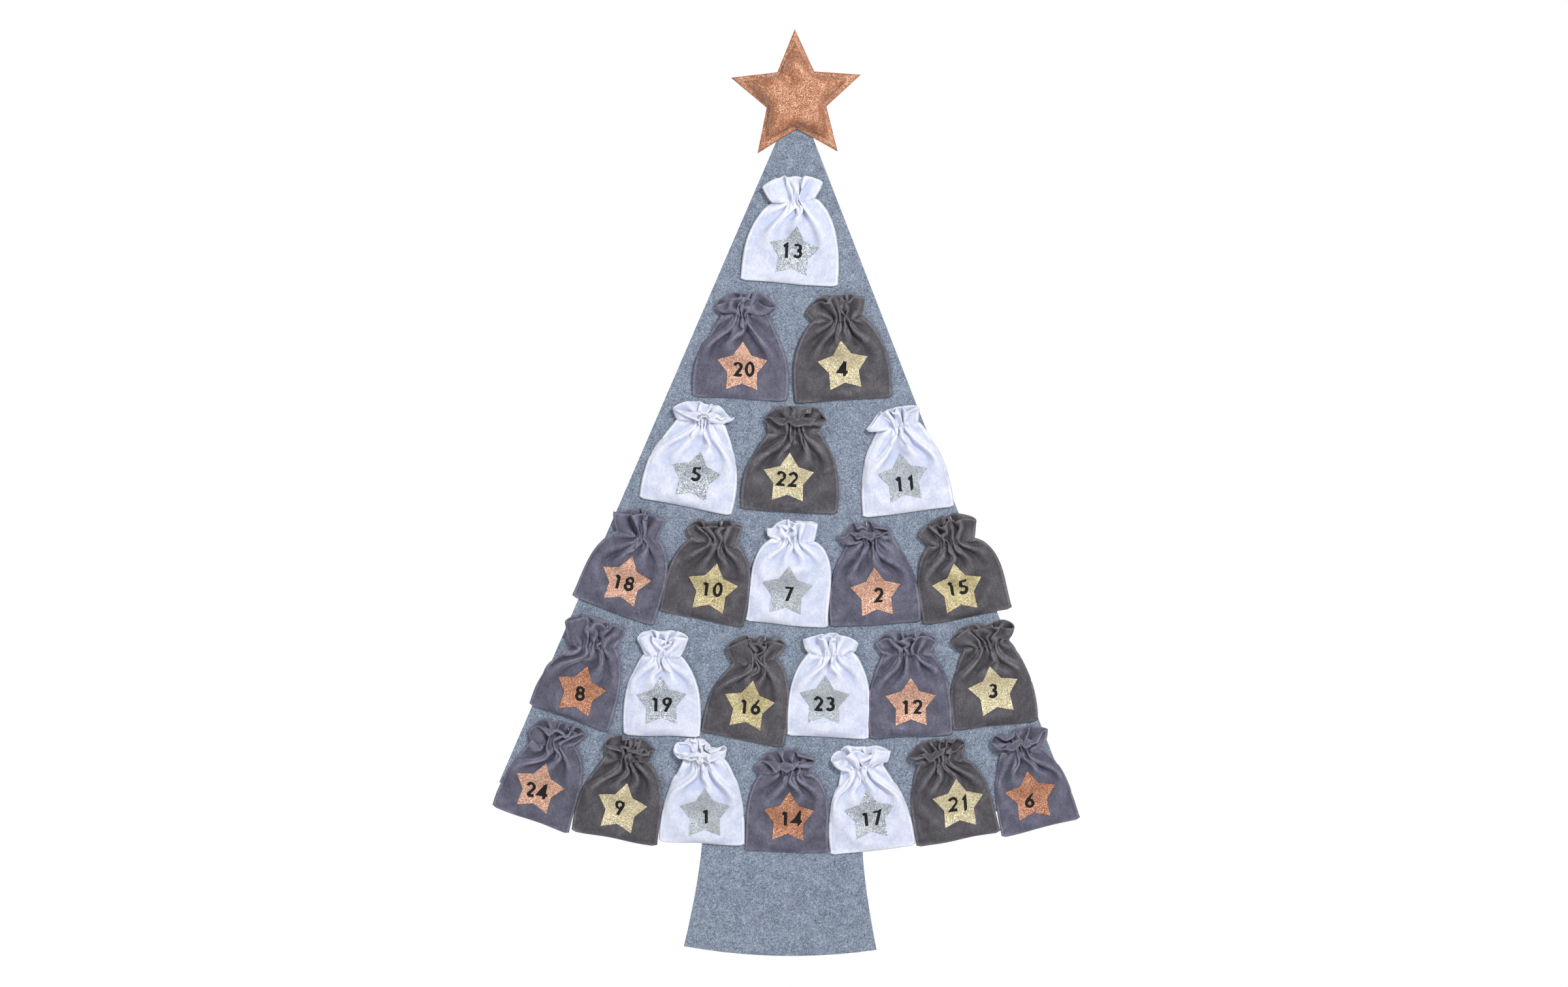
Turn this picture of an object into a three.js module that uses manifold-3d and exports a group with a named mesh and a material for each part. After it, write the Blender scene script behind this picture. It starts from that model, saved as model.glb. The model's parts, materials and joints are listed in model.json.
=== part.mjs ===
// Tree advent calendar: a felt fir tree that hangs on a wall, with a padded glitter star at its
// top and 24 numbered drawstring pouches sewn to it in six rows, one pouch for each day.
// Millimetres. X to the viewer's right, Y into the wall, Z up. The wall is the plane y = 0 and
// the origin is the eye of the hanging loop, on the wall. The front of the calendar faces -Y.
import * as THREE from 'three';
import { mergeVertices } from 'three/addons/utils/BufferGeometryUtils.js';
import Module from 'manifold-3d';

const wasm = await Module();
wasm.setup();

// Clearance between pieces that lie on one another
const seat = 0.3;

// Felt tree panel, flat on the wall
const feltThickness = 3;
const apexBelowEye = 20;
const apexCut = 16;
const cornerInset = 10;
const cornerBelowLastTack = 46;
const bottomSag = 49;
const trunkTopWidth = 172;
const trunkBaseWidth = 208;
const trunkBelowHems = 107;
const trunkBaseSag = 8.5;
const trunkFlareStart = 0.35;

// Padded star at the top of the tree
const starRadius = 73.4;
const starNotchRadius = 33.8;
const starBelowEye = 22.9;
const starTurn = -2.4;
const starBackThickness = 1;
const starRimThickness = 1.4;
const starRimWidth = 4;
const starPuff = 15;
const starSkin = 1.2;

// Hanging loop, a cord sewn to the back of the star
const loopCord = 1.6;
const loopWidth = 10;

// Pouch, a flat drawstring bag with a gathered mouth
const pouchHem = 95;
const pouchHeight = 112;
const ruffleHeight = 25;
const neckWidth = 45;
const lipWidth = 66;
const mouthSlant = 8;
const hemDepth = 3;
const bellyDepth = 19;
const bellyHeight = 35;
const neckDepth = 13;
const lipDepth = 15;
const sideSeamDepth = 3;
const pouchWall = 1.2;
const shoulderRoundness = 2.5;
const flareRoundness = 0.7;
const backFlatShare = 0.8;
const backSlantShare = 0.6;

// Rows of pouches
const starToFirstTack = 33;
const rowGap = 9;
const hemClearance = 1.2;
const sideGap = 0.8;

// Number star on each pouch
const patchRadius = 28.5;
const patchNotchRadius = 16.8;
const patchThickness = 0.8;
const digitHeight = 16.2;
const digitStroke = 3.2;
const digitSpace = 2.2;
const digitRelief = 0.5;

// Cloths of the pouches, each with the glitter of its number star
const cloths = {
  white: { cloth: 0xdfe2f0, glitter: 0xb5bcc7 },
  slate: { cloth: 0x6a6778, glitter: 0xc1957c },
  charcoal: { cloth: 0x5d5a60, glitter: 0xcabb97 },
};

// Each row's pouches from left to right, with the side shift of the whole row. wider is what a
// hem is sewn wider than the usual one, tilt the degrees that the top leans to the right, rise
// the height of the tack over the row's line and apart the gap to the left neighbour. star is the
// number star's centre, to the right of the middle and above the hem, and turn is the star's own
// lean beside that of the pouch.
const rows = [
  { shift: -3.9, pouches: [
    { day: 13, cloth: 'white', wider: 10, tilt: 2.9, rise: 4, star: [2.5, 32.7], turn: 3.1 },
  ] },
  { shift: 1.7, pouches: [
    { day: 20, cloth: 'slate', wider: 7, tilt: 2, rise: 0, star: [1, 32.6], turn: -1.8 },
    { day: 4, cloth: 'charcoal', wider: 10, tilt: -4.9, rise: 0, star: [2.3, 35], turn: -2.3, apart: 7.6 },
  ] },
  { shift: 8.7, pouches: [
    { day: 5, cloth: 'white', wider: 6, tilt: 9.9, rise: 2, star: [4.5, 32.7], turn: 2.1 },
    { day: 22, cloth: 'charcoal', wider: 9, tilt: 2.3, rise: 0, star: [-2.4, 34.8], turn: -0.2, apart: 8 },
    { day: 11, cloth: 'white', wider: 4, tilt: -7.7, rise: 1, star: [-1.6, 35.7], turn: -0.9, apart: 26 },
  ] },
  { shift: 5.5, pouches: [
    { day: 18, cloth: 'slate', wider: -2, tilt: 18.9, rise: 4, star: [1.7, 34.5], turn: -3.3 },
    { day: 10, cloth: 'charcoal', wider: -3, tilt: 9.6, rise: 2, star: [5.1, 33.4], turn: 0.7 },
    { day: 7, cloth: 'white', wider: -6, tilt: 4.1, rise: -1, star: [-3, 34.9], turn: -0.7 },
    { day: 2, cloth: 'slate', wider: 3, tilt: -4.4, rise: 1, star: [2.2, 32.8], turn: -0.8 },
    { day: 15, cloth: 'charcoal', wider: 2, tilt: -11.8, rise: 9, star: [-4.5, 31], turn: 0.3 },
  ] },
  { shift: -1, pouches: [
    { day: 8, cloth: 'slate', wider: -5, tilt: 18.8, rise: 9, star: [1.7, 31], turn: -3.1 },
    { day: 19, cloth: 'white', wider: -13, tilt: 0.2, rise: -2, star: [-1.4, 35.8], turn: -2.2 },
    { day: 16, cloth: 'charcoal', wider: -4, tilt: 9.5, rise: -6, star: [0.2, 36.2], turn: -0.8 },
    { day: 23, cloth: 'white', wider: -7, tilt: 1.2, rise: 0, star: [-5.1, 37.9], turn: 0.1 },
    { day: 12, cloth: 'slate', wider: -6, tilt: -3.7, rise: 2, star: [0.9, 35.3], turn: 1.5 },
    { day: 3, cloth: 'charcoal', wider: -3, tilt: -7.8, rise: 15, star: [2.5, 36], turn: -4.2 },
  ] },
  { shift: 3.5, pouches: [
    { day: 24, cloth: 'slate', wider: -8, tilt: 18.7, rise: 21, star: [-3, 34.8], turn: -1.6 },
    { day: 9, cloth: 'charcoal', wider: -2, tilt: 9.5, rise: 7, star: [1.5, 33], turn: 3.4 },
    { day: 1, cloth: 'white', wider: -3, tilt: 1.8, rise: 5, star: [1.6, 31.7], turn: -2.2 },
    { day: 14, cloth: 'slate', wider: -5, tilt: 0.4, rise: -2, star: [1, 35.8], turn: 0.5 },
    { day: 17, cloth: 'white', wider: -3, tilt: -7.9, rise: 0, star: [0.5, 37], turn: 0.5 },
    { day: 21, cloth: 'charcoal', wider: -4, tilt: -11.9, rise: 12, star: [6.7, 36.8], turn: 4.9 },
    { day: 6, cloth: 'slate', wider: -9, tilt: -14.7, rise: 25, star: [-2.4, 34.9], turn: 4.2 },
  ] },
];

const radians = THREE.MathUtils.degToRad;
const neckHeight = pouchHeight - ruffleHeight;
const pouchBackY = -(feltThickness + seat);

// Solids, joined and cut with manifold-3d

function toSolid(geometry) {
  const bare = geometry.clone();
  bare.deleteAttribute('normal');
  bare.deleteAttribute('uv');
  const merged = mergeVertices(bare, 1e-4);
  return new wasm.Manifold(new wasm.Mesh({
    numProp: 3,
    vertProperties: new Float32Array(merged.attributes.position.array),
    triVerts: new Uint32Array(merged.index.array),
  }));
}

function toGeometry(solid) {
  const mesh = solid.getMesh();
  const geometry = new THREE.BufferGeometry();
  geometry.setAttribute('position', new THREE.BufferAttribute(mesh.vertProperties, 3));
  geometry.setIndex(new THREE.BufferAttribute(mesh.triVerts, 1));
  geometry.computeVertexNormals();
  return geometry;
}

// A flat shape drawn in X and Z, standing from yBack towards the viewer to yFront
function standingPlate(shape, yBack, yFront, curveSegments = 12) {
  const plate = new THREE.ExtrudeGeometry(shape, {
    depth: yBack - yFront,
    bevelEnabled: false,
    curveSegments,
  });
  plate.rotateX(Math.PI / 2);
  plate.translate(0, yBack, 0);
  return plate;
}

// A closed skin over rings of equal point counts, from the first ring's cap to the last one's
function skinOverRings(rings) {
  const count = rings[0].length;
  const middle = (ring) => ring.reduce((sum, point) => sum.add(point), new THREE.Vector3())
    .divideScalar(count);
  const positions = [...rings.flat(), middle(rings[0]), middle(rings.at(-1))]
    .flatMap((point) => [point.x, point.y, point.z]);
  const triangles = [];
  for (let level = 0; level < rings.length - 1; level += 1) {
    for (let i = 0; i < count; i += 1) {
      const a = level * count + i;
      const b = level * count + (i + 1) % count;
      triangles.push(a, b, b + count, a, b + count, a + count);
    }
  }
  const last = (rings.length - 1) * count;
  const bottom = rings.length * count;
  for (let i = 0; i < count; i += 1) {
    const next = (i + 1) % count;
    triangles.push(bottom, next, i);
    triangles.push(bottom + 1, last + i, last + next);
  }
  const geometry = new THREE.BufferGeometry();
  geometry.setAttribute('position', new THREE.Float32BufferAttribute(positions, 3));
  geometry.setIndex(triangles);
  geometry.computeVertexNormals();
  return geometry;
}

function starPoints(radius, notchRadius, turn = 0) {
  return Array.from({ length: 10 }, (_, i) => {
    const reach = i % 2 === 0 ? radius : notchRadius;
    const angle = radians(i * 36 + turn);
    return new THREE.Vector2(reach * Math.sin(angle), reach * Math.cos(angle));
  });
}

// Pouch sections, counted upwards from the hem

function halfWidth(height, hem) {
  if (height <= neckHeight) {
    const up = height / neckHeight;
    return (neckWidth + (hem - neckWidth) * (1 - up ** shoulderRoundness)) / 2;
  }
  const flare = (height - neckHeight) / ruffleHeight;
  return (neckWidth + (lipWidth - neckWidth) * flare ** flareRoundness) / 2;
}

function depth(height) {
  if (height <= bellyHeight) {
    const up = Math.sin((height / bellyHeight) * (Math.PI / 2));
    return hemDepth + (bellyDepth - hemDepth) * up;
  }
  if (height <= neckHeight) {
    const up = (height - bellyHeight) / (neckHeight - bellyHeight);
    return bellyDepth + (neckDepth - bellyDepth) * (1 - Math.cos(up * Math.PI)) / 2;
  }
  return neckDepth + (lipDepth - neckDepth) * (height - neckHeight) / ruffleHeight;
}

// The side seams are turned in, so that the inside is narrower there by more than the cloth
const seamAllowance = 2.5;

// One ring of a pouch: a flat back, a side seam on each side and a bulging front. inset is 0 for
// the outside and the wall's thickness for the inside. The mouth's sides and front lie lower than
// the tack at the middle of its back.
function pouchRing(height, hem, inset) {
  const reach = halfWidth(height, hem) - seamAllowance * inset;
  const deep = depth(height) - 2 * inset;
  const seam = Math.min(sideSeamDepth, deep / 2) - (inset > 0 ? inset / 2 : 0);
  const mouth = Math.max(0, (height - neckHeight) / ruffleHeight);
  const frontSteps = 8;
  const ring = [];
  for (let i = 0; i <= frontSteps; i += 1) {
    const angle = Math.PI * (1 - i / frontSteps);
    const bulge = seam + (deep - seam) * Math.sin(angle);
    ring.push([reach * Math.cos(angle), -inset - bulge, 1]);
  }
  const backReach = reach * backFlatShare;
  ring.push([backReach, -inset, backSlantShare], [0, -inset, 0], [-backReach, -inset, backSlantShare]);
  return ring.map(([x, y, slant]) => (
    new THREE.Vector3(x, y, height - pouchHeight - mouthSlant * mouth * slant)));
}

const bodyLevels = [0, 0.07, 0.16, 0.4, 0.68, 0.87, 1].map((share) => share * neckHeight);
const mouthLevels = [0.45, 1].map((share) => neckHeight + share * ruffleHeight);
const cavityFloor = 2;

// The outside of a pouch as one solid, with its tack at the origin
function pouchOutside(hem) {
  const levels = [...bodyLevels, ...mouthLevels];
  return skinOverRings(levels.map((height) => pouchRing(height, hem, 0)));
}

// The pouch with its cavity open at the mouth: the skin turns over the lip and goes down inside
function pouchBag(hem) {
  const outside = [...bodyLevels, ...mouthLevels];
  const inside = [...bodyLevels.slice(cavityFloor), ...mouthLevels].reverse();
  return skinOverRings([
    ...outside.map((height) => pouchRing(height, hem, 0)),
    ...inside.map((height) => pouchRing(height, hem, pouchWall)),
  ]);
}

// Digits drawn with a broad pen on a grid one digit high. A stroke is a line of points, and a
// ring is a closed oval: middle, half width and half height.

function arc(x, y, reachX, reachY, from, to, steps) {
  return Array.from({ length: steps + 1 }, (_, i) => {
    const angle = radians(from + ((to - from) * i) / steps);
    return [x + reachX * Math.cos(angle), y + reachY * Math.sin(angle)];
  });
}

const digits = {
  0: { rings: [[0.3, 0.5, 0.22, 0.4]] },
  1: { strokes: [[[0.14, 0.74], [0.34, 0.88], [0.34, 0]]] },
  2: { strokes: [[...arc(0.3, 0.67, 0.21, 0.23, 170, -35, 5), [0.14, 0.1], [0.56, 0.1]]] },
  3: {
    strokes: [
      arc(0.28, 0.7, 0.19, 0.2, 150, -90, 5),
      arc(0.28, 0.31, 0.22, 0.21, 90, -150, 5),
    ],
  },
  4: { strokes: [[[0.44, 0], [0.44, 1]], [[0.44, 0.88], [0.12, 0.32], [0.6, 0.32]]] },
  5: {
    strokes: [
      [[0.52, 0.9], [0.19, 0.9], [0.16, 0.5]],
      arc(0.27, 0.33, 0.23, 0.23, 118, -145, 5),
    ],
  },
  6: { rings: [[0.3, 0.32, 0.21, 0.22]], strokes: [[[0.42, 1], [0.11, 0.42]]] },
  7: { strokes: [[[0.06, 0.9], [0.5, 0.9], [0.2, 0]]] },
  8: { rings: [[0.3, 0.7, 0.18, 0.2], [0.3, 0.31, 0.22, 0.21]] },
  9: { rings: [[0.3, 0.68, 0.21, 0.22]], strokes: [[[0.18, 0], [0.49, 0.58]]] },
};
const digitWidth = 0.6;

// The outline of a broad stroke along a line of points, with mitred corners
function strokeShape(points, width) {
  const line = points.map(([x, y]) => new THREE.Vector2(x, y));
  const side = (sign) => line.map((point, i) => {
    const into = i > 0 ? point.clone().sub(line[i - 1]).normalize() : null;
    const out = i < line.length - 1 ? line[i + 1].clone().sub(point).normalize() : null;
    const first = into ?? out;
    const second = out ?? into;
    const along = first.clone().add(second).normalize();
    const reach = (sign * width) / 2 / along.dot(first);
    return new THREE.Vector2(point.x - along.y * reach, point.y + along.x * reach);
  });
  return new THREE.Shape([...side(1), ...side(-1).reverse()]);
}

function ringShape([x, y, reachX, reachY], width) {
  const corners = 8;
  const oval = (grow) => arc(x, y, reachX + grow, reachY + grow, 22.5, 382.5, corners)
    .slice(0, corners).map(([px, py]) => new THREE.Vector2(px, py));
  const shape = new THREE.Shape(oval(width / 2));
  shape.holes.push(new THREE.Path(oval(-width / 2).reverse()));
  return shape;
}

// The number of a day as raised bars, from yBack to yFront, centred on the star
function numberSolid(day, yBack, yFront) {
  const pen = digitStroke / digitHeight;
  const characters = String(day).split('');
  const step = digitWidth * digitHeight + digitSpace;
  const start = -(characters.length * step - digitSpace) / 2;
  const pieces = characters.flatMap((character, place) => {
    const { strokes = [], rings = [] } = digits[character];
    const shapes = [
      ...strokes.map((points) => strokeShape(points, pen)),
      ...rings.map((ring) => ringShape(ring, pen)),
    ];
    return shapes.map((shape) => {
      const bar = standingPlate(shape, 0, -1);
      bar.scale(digitHeight, yBack - yFront, digitHeight);
      bar.translate(start + place * step, yBack, -digitHeight / 2);
      return toSolid(bar);
    });
  });
  return pieces.reduce((joined, piece) => joined.add(piece));
}

// The number star follows the pouch's front, a seat away from it
function numberStar(pouch) {
  const body = toSolid(pouchOutside(pouch.hem));
  const shifted = (distance) => body.translate([0, -distance, 0]);
  const [across, aboveHem] = pouch.star;
  const front = -depth(aboveHem) - seat - patchThickness;
  const outline = new THREE.Shape(starPoints(patchRadius, patchNotchRadius));
  const place = (solid) => solid
    .rotate([0, pouch.turn, 0]).translate([across, 0, aboveHem - pouchHeight]);
  const prism = place(toSolid(standingPlate(outline, 0, front - bellyDepth)));
  const number = place(numberSolid(pouch.day, front + 2 * patchThickness, front - digitRelief));
  const clearOfPouch = shifted(seat);
  const sheet = prism.intersect(shifted(seat + patchThickness));
  return toGeometry(sheet.add(number).subtract(clearOfPouch));
}

// Places of the pouches. A row is laid side by side from the left, each pouch as near to its left
// neighbour as their outlines let it. The row then hangs a pitch below the one above, or lower
// where a hem above comes further down than that.

const outlineSteps = 12;
const outlineShares = Array.from({ length: outlineSteps + 1 }, (_, i) => i / outlineSteps);

// A point of a pouch seen from the front, in the tilted pouch's place with its tack at the origin
function tilted(pouch, x, z) {
  const tilt = radians(pouch.tilt);
  return [x * Math.cos(tilt) + z * Math.sin(tilt), z * Math.cos(tilt) - x * Math.sin(tilt)];
}

// The points down one side of a pouch, at the height of its row
function sideEdge(pouch, side) {
  return outlineShares.map((share) => {
    const height = share * pouchHeight;
    const [x, z] = tilted(pouch, side * halfWidth(height, pouch.hem), height - pouchHeight);
    return [x, z + pouch.rise];
  });
}

function edgeAt(edge, z) {
  const next = edge.findIndex((point) => point[1] > z);
  if (next <= 0) return next === 0 ? edge[0][0] : edge.at(-1)[0];
  const [[x0, z0], [x1, z1]] = [edge[next - 1], edge[next]];
  return THREE.MathUtils.lerp(x0, x1, (z - z0) / (z1 - z0));
}

// How far apart the tacks of two neighbours have to be
function neighbourStep(left, right) {
  const rightEdge = sideEdge(left, 1);
  const leftEdge = sideEdge(right, -1);
  const overlaps = [...rightEdge.map((point) => point[1]), ...leftEdge.map((point) => point[1])]
    .map((z) => edgeAt(rightEdge, z) - edgeAt(leftEdge, z));
  return Math.max(...overlaps) + (right.apart ?? sideGap);
}

function layRow(row) {
  let tackX = 0;
  const pouches = row.pouches.map((pouch) => ({ ...pouch, hem: pouchHem + pouch.wider }));
  const laid = pouches.map((pouch, i) => {
    tackX += i > 0 ? neighbourStep(pouches[i - 1], pouch) : 0;
    return { ...pouch, tackX };
  });
  const left = Math.min(...laid.map((pouch) => pouch.tackX + sideEdge(pouch, -1)[0][0]));
  const right = Math.max(...laid.map((pouch) => pouch.tackX + sideEdge(pouch, 1)[0][0]));
  const centring = row.shift - (left + right) / 2;
  laid.forEach((pouch) => { pouch.tackX += centring; });
  return { pouches: laid, width: right - left };
}

// How much lower a pouch has to hang to clear the hems of the row above
function dropBelow(pouch, tackZ, rowAbove) {
  const drops = outlineShares.flatMap((share) => {
    const side = 2 * share - 1;
    const [x, z] = tilted(pouch, (side * lipWidth) / 2, -mouthSlant * Math.abs(side));
    return rowAbove.map((above) => {
      const [hemLeft, hemRight] = [-1, 1]
        .map((side) => tilted(above, (side * above.hem) / 2, -pouchHeight));
      const along = (pouch.tackX + x - above.tackX - hemLeft[0]) / (hemRight[0] - hemLeft[0]);
      if (along < 0 || along > 1) return 0;
      return tackZ + z + hemClearance
        - (above.tackZ + THREE.MathUtils.lerp(hemLeft[1], hemRight[1], along));
    });
  });
  return Math.max(0, ...drops);
}

const firstTackZ = -(starBelowEye + starRadius * Math.cos(radians(36)) + starToFirstTack);
const rowPitch = pouchHeight + rowGap;

const laidRows = rows.map(layRow);
let lineZ = firstTackZ;
laidRows.forEach(({ pouches }, index) => {
  if (index > 0) {
    lineZ -= rowPitch;
    const above = laidRows[index - 1].pouches;
    const drops = pouches.map((pouch) => dropBelow(pouch, lineZ + pouch.rise, above));
    lineZ -= Math.max(...drops);
  }
  pouches.forEach((pouch) => { pouch.tackZ = lineZ + pouch.rise; });
});

// Felt tree panel: a triangle with a bowed lower edge, and a trunk that flares to its foot

const lastTackZ = lineZ;
const cornerZ = lastTackZ - cornerBelowLastTack;
const cornerHalf = laidRows.at(-1).width / 2 - cornerInset;
const apexZ = -apexBelowEye;
const apexTopZ = apexZ - apexCut;
const sideSlope = cornerHalf / (apexZ - cornerZ);

function treePanel() {
  const trunkTopHalf = trunkTopWidth / 2;
  const trunkBaseHalf = trunkBaseWidth / 2;
  const bowZ = (x) => cornerZ - bottomSag * (1 - (x / cornerHalf) ** 2);
  const baseZ = lastTackZ - pouchHeight - trunkBelowHems;
  const straightZ = THREE.MathUtils.lerp(bowZ(trunkTopHalf), baseZ, trunkFlareStart);
  const shape = new THREE.Shape();
  shape.moveTo(-sideSlope * apexCut, apexTopZ);
  shape.lineTo(-cornerHalf, cornerZ);
  const bowSteps = 6;
  for (let i = 1; i <= bowSteps; i += 1) {
    const x = THREE.MathUtils.lerp(-cornerHalf, -trunkTopHalf, i / bowSteps);
    shape.lineTo(x, bowZ(x));
  }
  shape.quadraticCurveTo(-trunkTopHalf, straightZ, -trunkBaseHalf, baseZ);
  shape.quadraticCurveTo(0, baseZ - 2 * trunkBaseSag, trunkBaseHalf, baseZ);
  shape.quadraticCurveTo(trunkTopHalf, straightZ, trunkTopHalf, bowZ(trunkTopHalf));
  for (let i = bowSteps - 1; i >= 0; i -= 1) {
    const x = THREE.MathUtils.lerp(cornerHalf, trunkTopHalf, i / bowSteps);
    shape.lineTo(x, bowZ(x));
  }
  shape.lineTo(sideSlope * apexCut, apexTopZ);
  return standingPlate(shape, 0, -feltThickness, 10);
}

// Padded star: a flat back, a front with a stitched rim and a puffed middle, and the filling

const starBackY = -(feltThickness + seat);
const starFrontY = starBackY - starBackThickness - seat;

function starRing(inset, y) {
  const share = 1 - inset / starNotchRadius;
  return starPoints(starRadius * share, starNotchRadius * share, starTurn)
    .map((point) => new THREE.Vector3(point.x, y, point.y - starBelowEye))
    .reverse();
}

function starBack() {
  const outline = new THREE.Shape(starPoints(starRadius, starNotchRadius, starTurn));
  const plate = standingPlate(outline, starBackY, starBackY - starBackThickness);
  plate.translate(0, 0, -starBelowEye);
  return plate;
}

// Rings of the puffed middle, from its seam to near its top; shrink is the skin's thickness
function puffRings(baseY, shrink) {
  const puff = starPuff - shrink;
  return [0, 0.3, 0.62, 0.88].map((inward) => {
    const inset = THREE.MathUtils.lerp(starRimWidth + shrink, starNotchRadius, inward);
    const rise = puff * Math.sin(Math.sqrt(inward) * Math.PI / 2);
    return starRing(inset, baseY - rise);
  });
}

// The front's skin: a flat rim round a puffed middle, hollow and open at the back
function starFront() {
  const rimY = starFrontY - starRimThickness;
  const outside = [starRing(0, starFrontY), starRing(0, rimY), ...puffRings(rimY, 0)];
  const hollow = [
    starRing(starRimWidth + starSkin, starFrontY + starSkin),
    ...puffRings(rimY, starSkin),
  ];
  return toGeometry(toSolid(skinOverRings(outside)).subtract(toSolid(skinOverRings(hollow))));
}

function starFilling() {
  const rimY = starFrontY - starRimThickness;
  const shrink = starSkin + seat;
  return skinOverRings([starRing(starRimWidth + 2 * shrink, starFrontY - seat),
    ...puffRings(rimY, 2 * shrink)]);
}

// Hanging loop: an upturned U of cord behind the star, ending on the top edge of the panel

function hangingLoop() {
  const reach = loopWidth / 2;
  const cordY = starBackY + seat + loopCord / 2;
  const footZ = apexTopZ + seat;
  const path = new THREE.CurvePath();
  const at = (x, z) => new THREE.Vector3(x, cordY, z);
  path.add(new THREE.LineCurve3(at(-reach, footZ), at(-reach, 0)));
  const top = new THREE.CubicBezierCurve3(
    at(-reach, 0), at(-reach, reach * 1.33), at(reach, reach * 1.33), at(reach, 0));
  path.add(top);
  path.add(new THREE.LineCurve3(at(reach, 0), at(reach, footZ)));
  const section = new THREE.Shape();
  section.absarc(0, 0, loopCord / 2, 0, 2 * Math.PI);
  return new THREE.ExtrudeGeometry(section, {
    extrudePath: path,
    steps: 26,
    curveSegments: 4,
  });
}

// Materials

function clothMaterial(color) {
  return new THREE.MeshStandardMaterial({ color, roughness: 0.95, metalness: 0 });
}

function glitterMaterial(color) {
  return new THREE.MeshStandardMaterial({ color, roughness: 0.35, metalness: 0.6 });
}

function named(name, geometry, material) {
  const mesh = new THREE.Mesh(geometry, material);
  mesh.name = name;
  return mesh;
}

// Assembly

const calendar = new THREE.Group();
const felt = 0x8b96a6;
calendar.add(
  named('tree_panel', treePanel(), clothMaterial(felt)),
  named('star_back', starBack(), clothMaterial(felt)),
  named('star_filling', starFilling(), clothMaterial(0xe8e6e0)),
  named('star_front', starFront(), glitterMaterial(0xb58062)),
  named('hanging_loop', hangingLoop(), clothMaterial(0xd8d4cc)),
);

for (const pouch of laidRows.flatMap((row) => row.pouches)) {
  const label = String(pouch.day).padStart(2, '0');
  const { cloth, glitter } = cloths[pouch.cloth];
  const hung = new THREE.Group();
  hung.position.set(pouch.tackX, pouchBackY, pouch.tackZ);
  hung.rotation.y = radians(pouch.tilt);
  hung.add(
    named(`pouch_${label}`, pouchBag(pouch.hem), clothMaterial(cloth)),
    named(`star_patch_${label}`, numberStar(pouch), glitterMaterial(glitter)),
  );
  calendar.add(hung);
}

export default calendar;
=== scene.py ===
# Tree advent calendar: a felt fir tree with a padded glitter star at its top and 24 numbered
# pouches with gathered mouths. Metres, X to the viewer's right, Y into the wall, Z up.
import json
import math

import bpy
import numpy as np
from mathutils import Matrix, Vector
from mathutils.bvhtree import BVHTree
from mathutils.geometry import delaunay_2d_cdt

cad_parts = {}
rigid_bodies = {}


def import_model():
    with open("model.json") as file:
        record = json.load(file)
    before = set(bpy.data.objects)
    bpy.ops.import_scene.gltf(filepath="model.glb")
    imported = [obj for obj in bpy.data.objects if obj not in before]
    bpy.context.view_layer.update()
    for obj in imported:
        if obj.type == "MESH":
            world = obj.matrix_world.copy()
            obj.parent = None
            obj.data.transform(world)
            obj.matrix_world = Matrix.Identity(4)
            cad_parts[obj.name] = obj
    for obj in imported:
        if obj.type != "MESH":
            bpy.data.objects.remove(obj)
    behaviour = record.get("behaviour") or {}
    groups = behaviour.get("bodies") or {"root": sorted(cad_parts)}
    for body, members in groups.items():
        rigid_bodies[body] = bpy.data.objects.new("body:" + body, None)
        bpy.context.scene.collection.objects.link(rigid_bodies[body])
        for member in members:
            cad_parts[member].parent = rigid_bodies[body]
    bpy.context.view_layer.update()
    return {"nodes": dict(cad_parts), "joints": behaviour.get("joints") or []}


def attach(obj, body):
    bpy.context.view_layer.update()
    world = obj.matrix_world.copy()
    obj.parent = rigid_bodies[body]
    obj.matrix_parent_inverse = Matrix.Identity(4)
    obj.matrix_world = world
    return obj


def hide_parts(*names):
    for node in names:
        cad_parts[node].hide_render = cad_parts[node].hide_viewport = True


for leftover in list(bpy.data.objects):
    bpy.data.objects.remove(leftover)
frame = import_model()

MM = 0.001
rng = np.random.default_rng(24)

# Photograph: its width in pixels, millimetres to a pixel at the felt, and the tree's lean in degrees
PHOTO_WIDTH = 2400
MM_PER_PIXEL = 0.7055
PHOTO_LEAN = 1.085
# Camera: its distance and the point that it faces, in metres, and its sensor in millimetres
CAMERA_DISTANCE = 3.5
VIEW_CENTRE = (-0.0052, -0.4501)
SENSOR = 36.0

# Lights by name, place, width and watts, all turned to one point of the calendar
AMBIENT = 0.42
LIGHTS = [("window", (1.1, -2.6, 0.75), 0.55, 58.0), ("fill", (-1.6, -2.6, -1.0), 1.4, 18.0),
          ("rear", (-0.8, 2.8, 0.6), 1.6, 40.0)]
LIT_POINT = (0, 0, -0.45)
# The floor lies below the calendar and ends where the photo's frame would show it
FLOOR_LEVEL = -1.3
FLOOR_SIDE, FLOOR_FRONT, FLOOR_BACK = 2.4, 2.8, 2.0
FLOOR_PALER = 0.38

# Felt tree. Its slow waves are given by their length and by the way they run, in radians
FELT_FRONT, FELT_BACK = -3.0 * MM, -0.1 * MM
FELT_GRID = 6.0 * MM
FELT_WAVE = 0.5 * MM
FELT_WAVES = ((0.21, 0.4), (0.13, 1.9), (0.34, 2.7))
FELT_SOFT_EDGE = 0.5 * MM

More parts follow.
